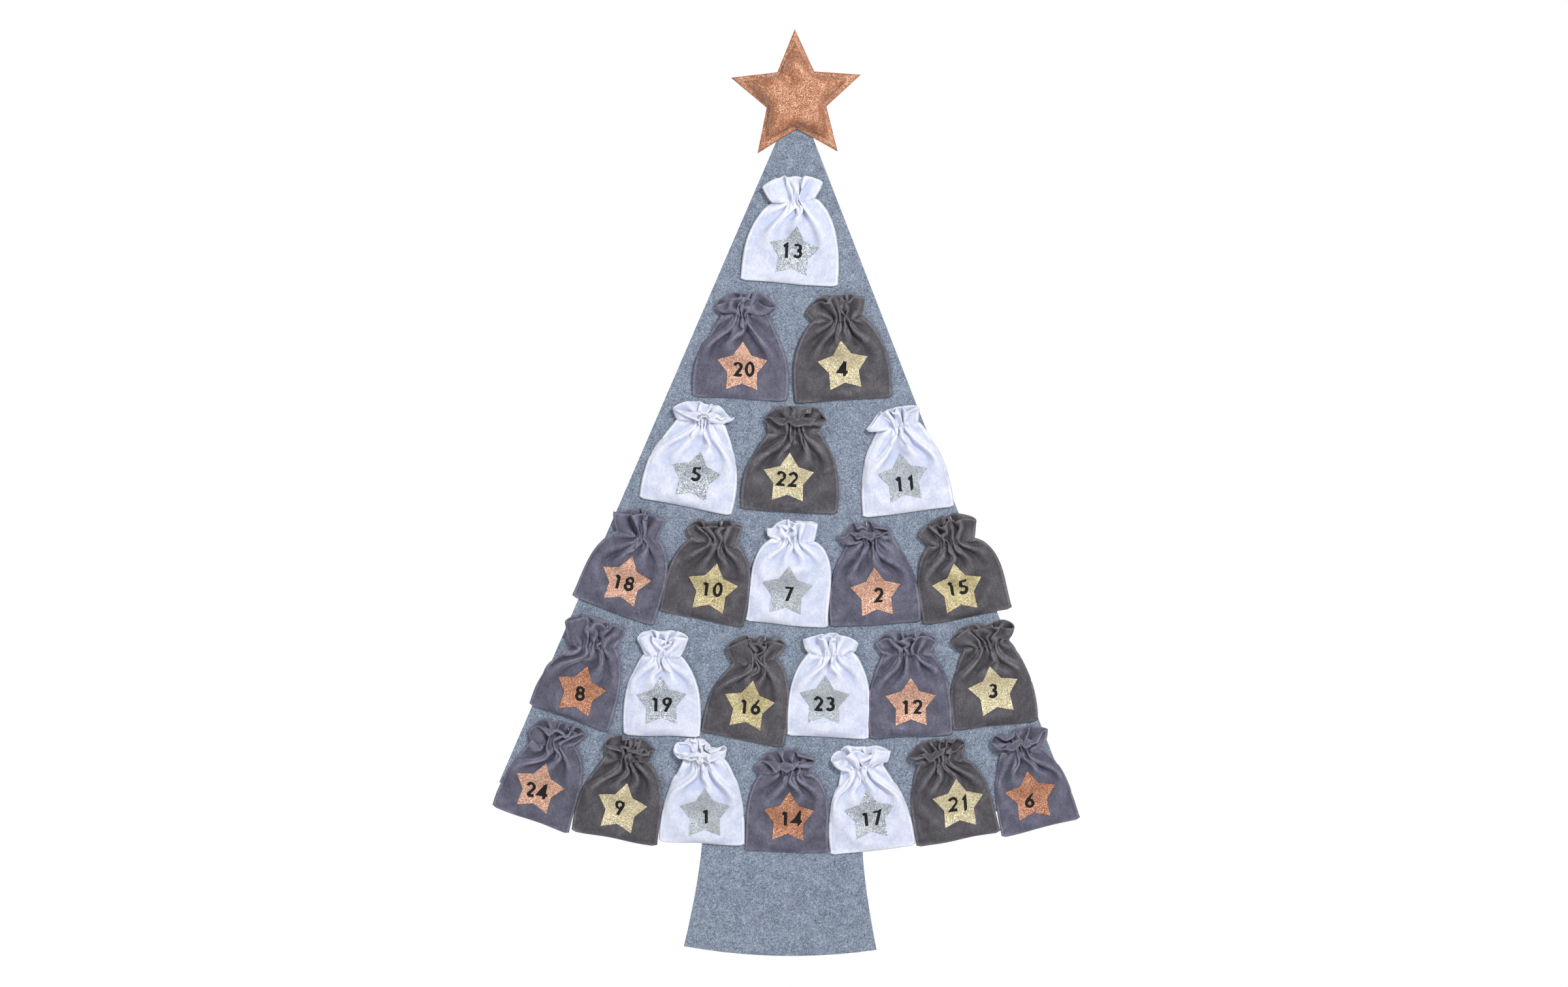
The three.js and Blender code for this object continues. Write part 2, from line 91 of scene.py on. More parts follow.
# Pouch cloth, in millimetres as all sizes of the simulation are. Columns of points run round the
# bag, and rows run up from the hem over the gathered neck to the rim of the ruffle
COLUMNS = 120
NECK_ROW = 48
ROWS = 64
CLOTH = 1.1
POUCH_HEIGHT = 112.0
BELLY_SLACK, RUFFLE_SLACK = 6.5, 2.0
FLAT_STRETCH = 1.06
HEM_FRONT, HEM_BACK = 2.6, 1.2
HEM_CORNER = 1.6
HEM_WAVE = 0.5
HEM_ROLL = 0.7
SEAM_RIDGE, SEAM_DIP = 0.15, 0.4
# The neck's front and back: how far out their middles lie, how far those hang below the seams,
# how deep the pleats are there and in the rows next to it, and how the rim's middle moves out.
# NECK_SIDE is how far out the seams lie
NECK_SIDE = 5.0
NECK_HALVES = (dict(middle=7.5, drop=1.5, pleats=1.0, flutes=1.15, opens=3.5),
               dict(middle=3.2, drop=-1.0, pleats=0.6, flutes=0.5, opens=-1.6))
# The cloth stays between these distances from the felt, and front and back this far apart
SIDE_BEHIND, DEEPEST = 0.7, 22.0
LAYERS_APART = 1.4
# What the neck keeps of its width where it stays flat, and how far pleats vary in size
FLAT_SHARE = 0.88
PLEAT_RANGE = (0.8, 2.0)
# Rows below the neck that follow its pleats, and how little the ruffle does
GATHERED_BELOW = 12
RUFFLE_LOOSE = 0.85
# The lobes of the ruffle: how wide, how far they are pushed out and how much they rise
LOBE_SMOOTHING = 26
LOBE_PUSH = 0.007
LOBE_RISE = 2.6
# How far a pouch can lift, how far out its hinge lies, how much of the room behind the ruffle it
# may fill and how high the ruffle may then reach over the tack
LIFT = math.radians(60)
HINGE_OUT = 0.3
ROOM_FILLED = 0.95
ROOM_ABOVE = 11.0

POUCH_STEPS, QUICK_POUCH_STEPS = 240, 110
SPEED_KEPT, LATE_SPEED_KEPT = 0.94, 0.85
PRESSURE = 0.018
MOUTH_PUSH = 0.002
WEAVE_ROUNDS = 4
WEAVE_PULL = 0.42
BIAS_PULL = 0.10
SEAM_PULL = 0.15
EAR_PULL = 0.1
LIP_PULL = 0.06
GATHER_PULL = 0.05
TACK_PULL = 0.2
CLOTH_STIFF, STAR_STIFF = 0.25, 0.75
DENT = 0.6
START_OUT = 0.8
SWELL_FRONT, SWELL_BACK, SWELL_LEAST = 5.0, 0.6, 1.5

# Threads of a pouch
ELASTIC_RADIUS = 0.28
STITCH_LENGTH = 3.4
STITCH_DEPTH = 0.45
TACK_RADIUS = 0.38

# Number stars and digits
PATCH_RADIUS = 28.5
PATCH_NOTCH = 16.8
PATCH_THICKNESS = 0.7
PATCH_GRID = 2.2
DIGIT_HEIGHT = 16.8
DIGIT_STROKE = 3.3
DIGIT_WIDTH = 0.6
DIGIT_SPACE = 2.6
PRINT_THICKNESS = 0.2

# Star at the top
STAR_RADIUS = 73.4
STAR_NOTCH = 33.8
STAR_BELOW_EYE = 22.9
STAR_TURN = -2.4
STAR_RIM = 5.6
STAR_STEP, STAR_STEP_WIDTH = 2.4, 1.3
STAR_BACK_FRONT = -4.6
STAR_PUFF = 14.0
STAR_SKIN = 1.0
STAR_SLACK = 1.075
STAR_GRID, STAR_GRID_ROW = 2.6, 2.25
STAR_STEPS, QUICK_STAR_STEPS = 260, 150
STAR_UNEVEN = 0.15
STAR_PRESSURE = 0.011
STAR_SPEED_KEPT = 0.93
STAR_WEAVE_ROUNDS, STAR_WEAVE_PULL = 6, 2.4
TOPSTITCH_RADIUS = 0.42
# Dents in the stuffing: both ends from the star's centre, depth and width
STAR_DENTS = [((-17, 29), (-5, 11), 5.0, 4.5), ((-50, 13), (-29, -5), 3.0, 4.5),
              ((23, 19), (34, 5), 1.5, 4.0), ((13, -29), (34, -44), 3.0, 4.0),
              ((-22, -14), (-26, -40), 1.5, 4.0)]

# Hanging loop
LOOP_HALF = 5.0
LOOP_FOOT = -35.7
LOOP_DEPTH = -2.2
LOOP_CORD = 1.6
STRAND_DEPTH = 0.14

# How each pouch hangs, in millimetres over the middle of its hem: its cloth and its star's glitter,
# the two sides of the gathered neck, the two ears of the ruffle, the top of the ruffle, how far
# the front lip is below it, the body's width at half and at three quarters of its height beside
# the hem's, the pleats' size, the share of the neck that stays flat at its sides, where the
# pleats are thickest, and the number's place on its star with its lean in degrees. Where another
# hem is close above, the last value stands for ROOM_ABOVE
FIELDS = ("cloth", "glitter", "neck", "ears", "top", "open", "widths", "pleat", "flat", "middle",
          "number", "room")
# A star whose glitter is one of the darker copies has painted shade, for stars that catch less light
HANGING = {
    13: ("white", "silver", ((-22, 85), (21, 92)), ((-36, 100), (28, 110)),
         116, 2, (0.9, 0.72), 7.5, 0.55, 2, (-2, 2.5, 3), 12),
    20: ("slate", "copper", ((-24, 88), (24, 92)), ((-31, 99), (35, 103)),
         113, 5, (0.89, 0.68), 6.0, 0.62, -2, (1.8, -1, 1)),
    4: ("charcoal", "gold", ((-24, 86), (24, 87)), ((-35, 93), (29, 109)),
        113, 4, (0.94, 0.76), 5.0, 0.5, 5, (-1.3, -1.3, 2)),
    5: ("white", "silver", ((-24, 91), (24, 94)), ((-33, 102), (34, 107)),
        113, 3, (0.9, 0.7), 6.0, 0.58, 2, (0.8, 3.8, 10), 4.5),
    22: ("charcoal", "gold", ((-26, 83), (26, 88)), ((-31, 94), (34, 107)),
         113, 2, (0.91, 0.72), 5.5, 0.55, 3, (-1.5, 0.5, 5), 4),
    11: ("white", "dull_silver", ((-21, 92), (21, 95)), ((-36, 95), (24, 110)),
         113, 3, (0.84, 0.66), 8.0, 0.45, 0, (1.8, -4.3, -6)),
    18: ("slate", "copper", ((-18, 83), (19, 89)), ((-36, 105), (20, 111)),
         113, 5, (0.92, 0.76), 8.5, 0.55, 2, (-1.5, -0.5, 14)),
    10: ("charcoal", "dull_gold", ((-24, 83), (22, 84)), ((-34, 90), (25, 105)),
         107, 6, (0.97, 0.82), 6.5, 0.5, 4, (0, 0.7, 7)),
    7: ("white", "dull_silver", ((-23, 90), (21, 91)), ((-31, 106), (23, 110)),
        112, 3, (0.97, 0.86), 6.5, 0.45, -2, (2, -1.8, 4)),
    2: ("slate", "copper", ((-22, 90), (22, 91)), ((-36, 102), (20, 107)),
        112, 6, (0.88, 0.68), 8.5, 0.52, 0, (3, -1.3, 0), 2.4),
    15: ("charcoal", "dull_gold", ((-25, 82), (22, 81)), ((-36, 94), (28, 99)),
         109, 5, (0.94, 0.8), 6.0, 0.48, -4, (-1.3, 2, -8)),
    8: ("slate", "deep_copper", ((-25, 76), (21, 87)), ((-38, 94), (26, 109)),
        113, 5, (0.89, 0.73), 6.5, 0.42, 0, (0.5, -1.8, 6)),
    19: ("white", "silver", ((-20, 87), (17, 85)), ((-28, 102), (26, 105)),
         113, 7, (0.95, 0.76), 8.0, 0.5, -2, (0, -1.5, 2)),
    16: ("charcoal", "dull_gold", ((-22, 80), (20, 92)), ((-35, 91), (28, 109)),
         113, 8, (0.91, 0.74), 6.0, 0.6, 2, (1.5, 0, 6)),
    23: ("white", "dull_silver", ((-23, 88), (23, 90)), ((-31, 105), (28, 103)),
         113, 6, (0.97, 0.82), 8.0, 0.55, 0, (0, -2.3, 0)),
    12: ("slate", "copper", ((-26, 90), (23, 89)), ((-34, 100), (31, 101)),
         113, 6, (0.96, 0.8), 6.0, 0.45, 3, (1, -3.3, 0)),
    3: ("charcoal", "gold", ((-24, 86), (24, 89)), ((-38, 98), (32, 105)),
        112, 6, (0.9, 0.72), 5.0, 0.4, 2, (-1.5, 1.3, -2)),
    24: ("slate", "copper", ((-27, 79), (17, 90)), ((-33, 82), (28, 108)),
         110, 6, (0.9, 0.76), 7.0, 0.5, 0, (-2, -2, 10), 4.5),
    9: ("charcoal", "gold", ((-25, 85), (17, 87)), ((-28, 98), (25, 105)),
        110, 7, (0.92, 0.75), 6.5, 0.45, 4, (-1.3, 1.3, 5), 2.5),
    1: ("white", "dull_silver", ((-23, 90), (18, 91)), ((-34, 105), (21, 110)),
        113, 3, (0.85, 0.67), 7.0, 0.35, -2, (1, -2.3, -1), 1.0),
    14: ("slate", "deep_copper", ((-25, 85), (22, 84)), ((-38, 93), (27, 104)),
         111, 7, (0.96, 0.84), 8.0, 0.5, 4, (2.3, 0.3, 2), 1.6),
    17: ("white", "silver", ((-24, 90), (21, 90)), ((-34, 104), (31, 108)),
         113, 6, (0.84, 0.66), 7.0, 0.48, -2, (1.8, -2, -6)),
    21: ("charcoal", "gold", ((-24, 89), (20, 85)), ((-38, 100), (26, 100)),
         110, 7, (0.92, 0.77), 5.5, 0.55, 0, (0.3, 1.3, -5), 1.2),
    6: ("slate", "deep_copper", ((-21, 89), (18, 84)), ((-31, 107), (32, 105)),
        111, 7, (0.87, 0.71), 6.0, 0.5, 0, (-1.5, -4, 2), 2.0),
}
POUCHES = {day: dict(zip(FIELDS, row)) for day, row in HANGING.items()}


def arc(x, y, reach_x, reach_y, start, end, steps=14):
    """Points along part of an ellipse, from one angle to another in degrees."""
    angles = np.radians(np.linspace(start, end, steps + 1))
    return [(x + reach_x * math.cos(a), y + reach_y * math.sin(a)) for a in angles]


# Digits drawn with a broad pen on a grid one digit high: strokes, and rings given by their
# middle, half width and half height
DIGITS = {
    "0": {"rings": [(0.3, 0.5, 0.22, 0.4)]},
    "1": {"strokes": [[(0.14, 0.74), (0.34, 0.88), (0.34, 0)]]},
    "2": {"strokes": [[*arc(0.3, 0.67, 0.21, 0.23, 170, -35), (0.14, 0.1), (0.56, 0.1)]]},
    "3": {"strokes": [arc(0.28, 0.7, 0.19, 0.2, 150, -90), arc(0.28, 0.31, 0.22, 0.21, 90, -150)]},
    "4": {"strokes": [[(0.46, 0), (0.46, 1)], [(0.46, 0.9), (0.06, 0.27), (0.66, 0.27)]]},
    "5": {"strokes": [[(0.56, 0.9), (0.19, 0.9), (0.15, 0.5)],
                      arc(0.28, 0.33, 0.25, 0.23, 118, -145)]},
    "6": {"rings": [(0.3, 0.32, 0.21, 0.22)], "strokes": [[(0.42, 1), (0.11, 0.42)]]},
    "7": {"strokes": [[(0.06, 0.9), (0.5, 0.9), (0.2, 0)]]},
    "8": {"rings": [(0.3, 0.7, 0.18, 0.2), (0.3, 0.31, 0.22, 0.21)]},
    "9": {"rings": [(0.3, 0.68, 0.21, 0.22)], "strokes": [[(0.18, 0), (0.49, 0.58)]]},
}


# Materials


def linear(code):
    """An sRGB hex colour as linear RGBA."""
    parts = [int(code[i:i + 2], 16) / 255 for i in (0, 2, 4)]
    return (*[p / 12.92 if p <= 0.04045 else ((p + 0.055) / 1.055) ** 2.4 for p in parts], 1.0)


def add_node(tree, kind, settings=None, inputs=None, stops=None):
    """Adds a node. An input takes a value, or another node's output that it is linked to."""
    node = tree.nodes.new(kind)
    for key, value in (settings or {}).items():
        setattr(node, key, value)
    for key, value in (inputs or {}).items():
        if isinstance(value, bpy.types.NodeSocket):
            tree.links.new(value, node.inputs[key])
        else:
            node.inputs[key].default_value = value
    if stops:
        elements = node.color_ramp.elements
        while len(elements) < len(stops):
            elements.new(1.0)
        for element, (place, code) in zip(elements, stops):
            element.position, element.color = place, linear(code)
    return node


def new_material(name, roughness, **sockets):
    """A material and its node tree, with the shader's own sockets set by their names."""
    material = bpy.data.materials.new(name)
    material.use_nodes = True
    shader = material.node_tree.nodes["Principled BSDF"]
    shader.inputs["Roughness"].default_value = roughness
    for key, value in sockets.items():
        shader.inputs[key.replace("_", " ")].default_value = value
    return material, material.node_tree


def finished(material, colour, normal=None):
    """The material with the nodes of its colour and of its relief joined to its shader."""
    tree = material.node_tree
    shader = tree.nodes["Principled BSDF"]
    tree.links.new(colour.outputs["Color"], shader.inputs["Base Color"])
    if normal:
        tree.links.new(normal.outputs[0], shader.inputs["Normal"])
    return material


def per_metre(size_mm):
    """The texture scale that makes features of that size."""
    return 1 / (size_mm * MM)


def needled_felt(name, dark, middle, light):
    """Needle-punched wool mix felt in a blue-grey melange. Dark and pale fibres lie in short curls,
    drawn 1.5 mm across so that they show, in soft patches of about a centimetre, and the surface
    is matt with a faint fuzz."""
    material, tree = new_material(name, 0.95, Sheen_Weight=0.15, Sheen_Roughness=0.6)
    place = add_node(tree, "ShaderNodeTexCoord").outputs["Object"]
    fibres = add_node(tree, "ShaderNodeTexNoise", inputs={
        "Vector": place, "Scale": per_metre(1.5), "Detail": 4.0, "Roughness": 0.75, "Distortion": 1.6})
    patches = add_node(tree, "ShaderNodeTexNoise", inputs={
        "Vector": place, "Scale": per_metre(11), "Detail": 3.0, "Roughness": 0.6, "Distortion": 0.5})
    mixed = add_node(tree, "ShaderNodeMath", {"operation": "MULTIPLY_ADD"}, {
        0: patches.outputs["Fac"], 1: 0.14, 2: -0.07})
    level = add_node(tree, "ShaderNodeMath", {"operation": "ADD"}, {
        0: fibres.outputs["Fac"], 1: mixed.outputs[0]})
    colour = add_node(tree, "ShaderNodeValToRGB", inputs={"Fac": level.outputs[0]},
                      stops=[(0.39, dark), (0.5, middle), (0.61, light)])
    bump = add_node(tree, "ShaderNodeBump", inputs={
        "Height": fibres.outputs["Fac"], "Distance": 0.5 * MM, "Strength": 0.6})
    return finished(material, colour, bump)


def brushed_suedette(name, dark, middle, light, crease, roughness):
    """Brushed polyester suedette. Its short nap lies in soft streaks and blotches, a shade lighter
    or darker where it was stroked, over a fine grain. Its folds are paler, partly from rubbed nap
    and partly as painted highlight, and its creases are darker with painted shade. The dark ones
    are pressed to a low sheen, and the white one is matt.
    crease is the height in millimetres of the small wrinkles that its handling left."""
    material, tree = new_material(name, roughness, Sheen_Weight=0.1, Sheen_Roughness=0.45)
    place = add_node(tree, "ShaderNodeTexCoord").outputs["Object"]
    blotches = add_node(tree, "ShaderNodeTexNoise", inputs={
        "Vector": place, "Scale": per_metre(17), "Detail": 4.0, "Roughness": 0.6, "Distortion": 0.8})
    along = add_node(tree, "ShaderNodeMapping", inputs={
        "Vector": place, "Rotation": (0, math.radians(35), 0), "Scale": (1.0, 1.0, 0.45)})
    streaks = add_node(tree, "ShaderNodeTexNoise", inputs={
        "Vector": along.outputs["Vector"], "Scale": per_metre(2.2), "Detail": 3.0,
        "Roughness": 0.6, "Distortion": 0.4})
    grain = add_node(tree, "ShaderNodeTexNoise", inputs={
        "Vector": place, "Scale": per_metre(1.5), "Detail": 4.0, "Roughness": 0.75, "Distortion": 0.6})
    nap = add_node(tree, "ShaderNodeMix", inputs={
        0: 0.34, 2: blotches.outputs["Fac"], 3: streaks.outputs["Fac"]})
    fine = add_node(tree, "ShaderNodeMix", inputs={
        0: 0.45, 2: nap.outputs[0], 3: grain.outputs["Fac"]})
    # Pointiness paints shade into the creases and lightens the convex folds, partly as rubbed nap and
    # partly as painted highlight
    fold = add_node(tree, "ShaderNodeNewGeometry").outputs["Pointiness"]
    wear_and_painted_light = add_node(tree, "ShaderNodeMapRange", inputs={
        "Value": fold, "From Min": 0.44, "From Max": 0.56, "To Min": -0.20, "To Max": 0.08})
    level = add_node(tree, "ShaderNodeMath", {"operation": "ADD"}, {
        0: fine.outputs[0], 1: wear_and_painted_light.outputs[0]})
    colour = add_node(tree, "ShaderNodeValToRGB", inputs={"Fac": level.outputs[0]},
                      stops=[(0.36, dark), (0.5, middle), (0.65, light)])
    wrinkles = add_node(tree, "ShaderNodeTexNoise", {"noise_type": "RIDGED_MULTIFRACTAL"}, {
        "Vector": place, "Scale": per_metre(21), "Detail": 3.0, "Roughness": 0.5, "Distortion": 1.1})
    coarse = add_node(tree, "ShaderNodeBump", inputs={
        "Height": wrinkles.outputs["Fac"], "Distance": crease * MM, "Strength": 0.5})
    bump = add_node(tree, "ShaderNodeBump", inputs={
        "Height": grain.outputs["Fac"], "Distance": 0.3 * MM, "Strength": 0.7,
        "Normal": coarse.outputs["Normal"]})
    return finished(material, colour, bump)


def glitter_film(name, grain, shades, tilt, levels=(0.15, 0.4, 0.62, 0.85)):
    """Glitter bonded on a backing: flat metallic flakes of about the grain's size in millimetres,
    each lying at its own angle, so that some flash and their neighbours stay dark. The flash comes
    partly from the flakes' lean and partly from glints painted into their colour, and broad paler
    and darker patches over them are painted sheen. The real flakes are near 0.4 mm, and these are
    drawn coarser so that they show. The shades run from the dark flakes to the bright painted
    glints, and tilt is how far the flakes lean."""
    material, tree = new_material(name, 0.45, Metallic=0.15)
    place = add_node(tree, "ShaderNodeTexCoord").outputs["Object"]
    flakes = add_node(tree, "ShaderNodeTexVoronoi", inputs={"Vector": place, "Scale": per_metre(grain)})
    # Each flake's random brightness paints its glint: bright flakes are painted as flashing, dark ones
    # as unlit
    painted_glint_chance = add_node(tree, "ShaderNodeSeparateColor", inputs={"Color": flakes.outputs["Color"]})
    # Broad brighter and darker patches over the film, painted sheen
    shade = add_node(tree, "ShaderNodeTexNoise", inputs={
        "Vector": place, "Scale": per_metre(9), "Detail": 2.0})
    level = add_node(tree, "ShaderNodeMix", inputs={
        0: 0.3, 2: painted_glint_chance.outputs["Red"], 3: shade.outputs["Fac"]})
    colour = add_node(tree, "ShaderNodeValToRGB", inputs={"Fac": level.outputs[0]},
                      stops=list(zip(levels, shades.split())))
    centred = add_node(tree, "ShaderNodeVectorMath", {"operation": "SUBTRACT"}, {
        0: flakes.outputs["Color"], 1: (0.5, 0.5, 0.5)})
    leaning = add_node(tree, "ShaderNodeVectorMath", {"operation": "SCALE"}, {
        0: centred.outputs["Vector"], "Scale": tilt})
    facing = add_node(tree, "ShaderNodeNewGeometry").outputs["Normal"]
    summed = add_node(tree, "ShaderNodeVectorMath", {"operation": "ADD"}, {
        0: facing, 1: leaning.outputs["Vector"]})
    unit = add_node(tree, "ShaderNodeVectorMath", {"operation": "NORMALIZE"}, {
        0: summed.outputs["Vector"]})
    return finished(material, colour, unit)


def screen_print(name, code, wear_and_painted_light):
    """Black screen print on glitter: an even, slightly rubbery ink film that lets the grain below
    come through as fine bumps, with a few paler specks where it is thin."""
    material, tree = new_material(name, 0.75, Specular_IOR_Level=0.25)
    place = add_node(tree, "ShaderNodeTexCoord").outputs["Object"]
    specks = add_node(tree, "ShaderNodeTexNoise", inputs={
        "Vector": place, "Scale": per_metre(0.8), "Detail": 2.0})
    colour = add_node(tree, "ShaderNodeValToRGB", inputs={"Fac": specks.outputs["Fac"]},
                      stops=[(0.55, code), (0.78, wear_and_painted_light)])
    bump = add_node(tree, "ShaderNodeBump", inputs={
        "Height": specks.outputs["Fac"], "Distance": 0.15 * MM, "Strength": 0.5})
    return finished(material, colour, bump)


def spun_thread(name, dark, light, roughness):
    """Spun polyester thread or cotton cord: fine slanted bands of ply, with painted highlight on their
    crowns and painted shade between them.
    """
    material, tree = new_material(name, roughness, Sheen_Weight=0.1)
    place = add_node(tree, "ShaderNodeTexCoord").outputs["Object"]
    # The bands' light and dark are painted highlight and shade of the twisted ply
    ply = add_node(tree, "ShaderNodeTexWave", {"bands_direction": "DIAGONAL"}, {
        "Vector": place, "Scale": per_metre(2.5), "Distortion": 1.5, "Detail": 1.0})
    colour = add_node(tree, "ShaderNodeValToRGB", inputs={"Fac": ply.outputs["Fac"]},
                      stops=[(0.2, dark), (0.8, light)])
    return finished(material, colour)


def carded_wadding(name, dark, light):
    """Carded polyester wadding: loose white fibre in cloudy tufts."""
    material, tree = new_material(name, 1.0, Sheen_Weight=0.2)
    place = add_node(tree, "ShaderNodeTexCoord").outputs["Object"]
    tufts = add_node(tree, "ShaderNodeTexNoise", inputs={
        "Vector": place, "Scale": per_metre(5), "Detail": 5.0, "Roughness": 0.7})
    colour = add_node(tree, "ShaderNodeValToRGB", inputs={"Fac": tufts.outputs["Fac"]},
                      stops=[(0.3, dark), (0.7, light)])
    return finished(material, colour)


MATERIALS = {
    "felt": needled_felt("wool_mix_felt_melange", "495466", "7a8698", "afbacb"),
    "felt_cut": needled_felt("wool_mix_felt_cut_edge", "828d9e", "9ea9b8", "bcc6d2"),
    "white": brushed_suedette("off_white_suedette", "c3cbe3", "dfe3f2", "f3f5fd", 0.6, 0.9),
    "white_cut": brushed_suedette("off_white_suedette_cut_edge", "e2e6f4", "edf0fa", "f6f8ff", 0.2, 0.9),
    "slate": brushed_suedette("slate_suedette", "424050", "605f72", "838395", 1.4, 0.66),
    "slate_cut": brushed_suedette("slate_suedette_cut_edge", "5a5a6c", "6c6c7e", "7c7d8e", 0.2, 0.85),
    "charcoal": brushed_suedette("charcoal_suedette", "302e34", "4f4c52", "757279", 1.8, 0.66),
    "charcoal_cut": brushed_suedette(
        "charcoal_suedette_cut_edge", "4f4d54", "605e65", "727077", 0.2, 0.85),
    "silver_glitter": glitter_film(
        "silver_glitter_film", 0.75, "6e767f 929aa3 aab1b9 dbdfe2", 0.38),
    # Darker copies of the same glitter films, which paint shade on stars that catch less light
    "dull_silver_glitter": glitter_film(
        "silver_glitter_film_painted_shade", 0.7, "81888e 999fa6 a4abb1 bfc6cb", 0.35),
    "copper_glitter": glitter_film(
        "copper_glitter_film", 0.75, "926048 b4836b c49882 e1c4b2", 0.38),
    "deep_copper_glitter": glitter_film(
        "copper_glitter_film_painted_shade", 0.75, "7c442c 9d6345 ad7657 d0a284", 0.4),
    "gold_glitter": glitter_film(
        "gold_glitter_film", 0.75, "978762 b5a984 c6ba99 e4ddc2", 0.38),
    "dull_gold_glitter": glitter_film(
        "gold_glitter_film_painted_shade", 0.75, "86764c a8996c b7ab7f d7cdaa", 0.4),
    "copper_cloth": glitter_film(
        "copper_glitter_cloth", 0.5, "6f3d22 985a38 b1714b eec6ab", 0.32, (0.12, 0.38, 0.62, 0.88)),
    "ink": screen_print("black_screen_print", "0d0d0f", "2a2a2d"),
    "white_elastic": spun_thread("white_elastic_thread", "b4b9cc", "d4d8e6", 0.6),
    "slate_elastic": spun_thread("slate_elastic_thread", "5a5a6a", "82829a", 0.6),
    "charcoal_elastic": spun_thread("charcoal_elastic_thread", "47464b", "77767c", 0.6),
    "tack": spun_thread("white_tack_thread", "cfcfd4", "f2f2f4", 0.6),
    "copper_thread": spun_thread("copper_topstitch_thread", "cf9f80", "f2d3bb", 0.5),
    "cord": spun_thread("cotton_loop_cord", "c2beb6", "e0dcd4", 0.85),
    "wadding": carded_wadding("polyester_wadding", "d9d7d2", "f2f1ee"),
}


# Meshes


def add_object(name, data):
    """An object of the scene that shows a mesh, a light or a camera."""
    thing = bpy.data.objects.new(name, data)
    bpy.context.scene.collection.objects.link(thing)
    return thing


def make_piece(name, vertices, faces, body, materials, cut_faces=None):
    """A smooth mesh object that rides on a body, with its materials. The faces of its cut edge,
    where it has one, are flat and have the last material."""
    mesh = bpy.data.meshes.new(name)
    mesh.from_pydata([tuple(map(float, v)) for v in vertices], [], [tuple(map(int, f)) for f in faces])
    cut = np.zeros(len(mesh.polygons), bool) if cut_faces is None else cut_faces
    mesh.polygons.foreach_set("material_index", (cut * (len(materials) - 1)).astype(np.int32))
    mesh.polygons.foreach_set("use_smooth", ~cut)
    mesh.update()
    piece = add_object(name, mesh)
    for key in materials:
        mesh.materials.append(MATERIALS[key])
    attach(piece, body)
    return piece


def star_outline(radius, notch, turn=0.0):
    """A five-pointed star, counter-clockwise. turn is its lean to the right in degrees."""
    angles = np.radians(np.arange(10) * 36 + turn)
    reach = np.where(np.arange(10) % 2 == 0, radius, notch)
    return np.column_stack([reach * np.sin(angles), reach * np.cos(angles)])[::-1]


def inside(points, outline):
    """Which points lie inside a closed outline."""
    x, y = points[:, 0:1], points[:, 1:2]
    a, b = outline, np.roll(outline, -1, axis=0)
    crosses = (a[:, 1] > y) != (b[:, 1] > y)
    rise = np.where(b[:, 1] == a[:, 1], 1e-12, b[:, 1] - a[:, 1])
    meets = a[:, 0] + (y - a[:, 1]) * (b[:, 0] - a[:, 0]) / rise
    return (crosses & (x < meets)).sum(axis=1) % 2 == 1


def edge_distance(points, outline):
    """How far each point is from the outline."""
    best = np.full(len(points), np.inf)
    for a, b in zip(outline, np.roll(outline, -1, axis=0)):
        along = b - a
        share = np.clip(((points - a) @ along) / (along @ along), 0, 1)
        best = np.minimum(best, np.linalg.norm(points - a - share[:, None] * along, axis=1))
    return best


def divided(outline, step, closed=True):
    """An outline with points at most a step apart, its corners kept."""
    ends = np.roll(outline, -1, axis=0) if closed else outline[1:]
    points = []
    for a, b in zip(outline, ends):
        parts = max(1, math.ceil(np.linalg.norm(b - a) / step))
        points += [a + (b - a) * i / parts for i in range(parts)]
    return np.array(points if closed else points + [outline[-1]])


def doubled_areas(flat, corners):
    """Twice each triangle's area, negative where its corners run clockwise."""
    a, b, c = (flat[corners[:, i]] for i in range(3))
    return (b - a)[:, 0] * (c - a)[:, 1] - (b - a)[:, 1] * (c - a)[:, 0]


def edges_of(triangles):
    """Each edge of the triangles once."""
    sides = np.vstack([triangles[:, [0, 1]], triangles[:, [1, 2]], triangles[:, [2, 0]]])
    return np.unique(np.sort(sides, axis=1), axis=0)


def triangulated(areas, loose=()):
    """Triangles that fill closed areas, which may overlap, through their loose inner points."""
    points, faces = [], []
    for area in areas:
        faces.append(list(range(len(points), len(points) + len(area))))
        points += [Vector(map(float, p)) for p in area]
    points += [Vector(map(float, p)) for p in loose]
    inside_only = 1
    done = delaunay_2d_cdt(points, [], faces, inside_only, 1e-5)
    flat = np.array([tuple(p) for p in done[0]])
    corners = np.array([face for face, origin in zip(done[2], done[5]) if origin], int)
    double = doubled_areas(flat, corners)
    corners[double < 0] = corners[double < 0][:, ::-1]
    return flat, corners[np.abs(double) > 1e-9]


def staggered(low, high, step, row):
    """A grid of points over a box, with every other row shifted by half a step."""
    return np.array([(x + (i % 2) * step / 2, y)
                     for i, y in enumerate(np.arange(low[1], high[1], row))
                     for x in np.arange(low[0], high[0] + step, step)])


def filled(outline, step):
    """Even triangles inside an outline: its own points, and a grid of points further in."""
    edge = divided(outline, step)
    grid = staggered(edge.min(axis=0), edge.max(axis=0), step, step * math.sqrt(3) / 2)
    grid = grid[inside(grid, outline)]
    grid = grid[edge_distance(grid, outline) > 0.55 * step]
    return triangulated([edge], grid)


def border(triangles):
    """The edges that only one triangle has, each in its triangle's direction."""
    edges = {(int(a), int(b)) for t in triangles for a, b in zip(t, np.roll(t, -1))}
    return [(a, b) for a, b in edges if (b, a) not in edges]


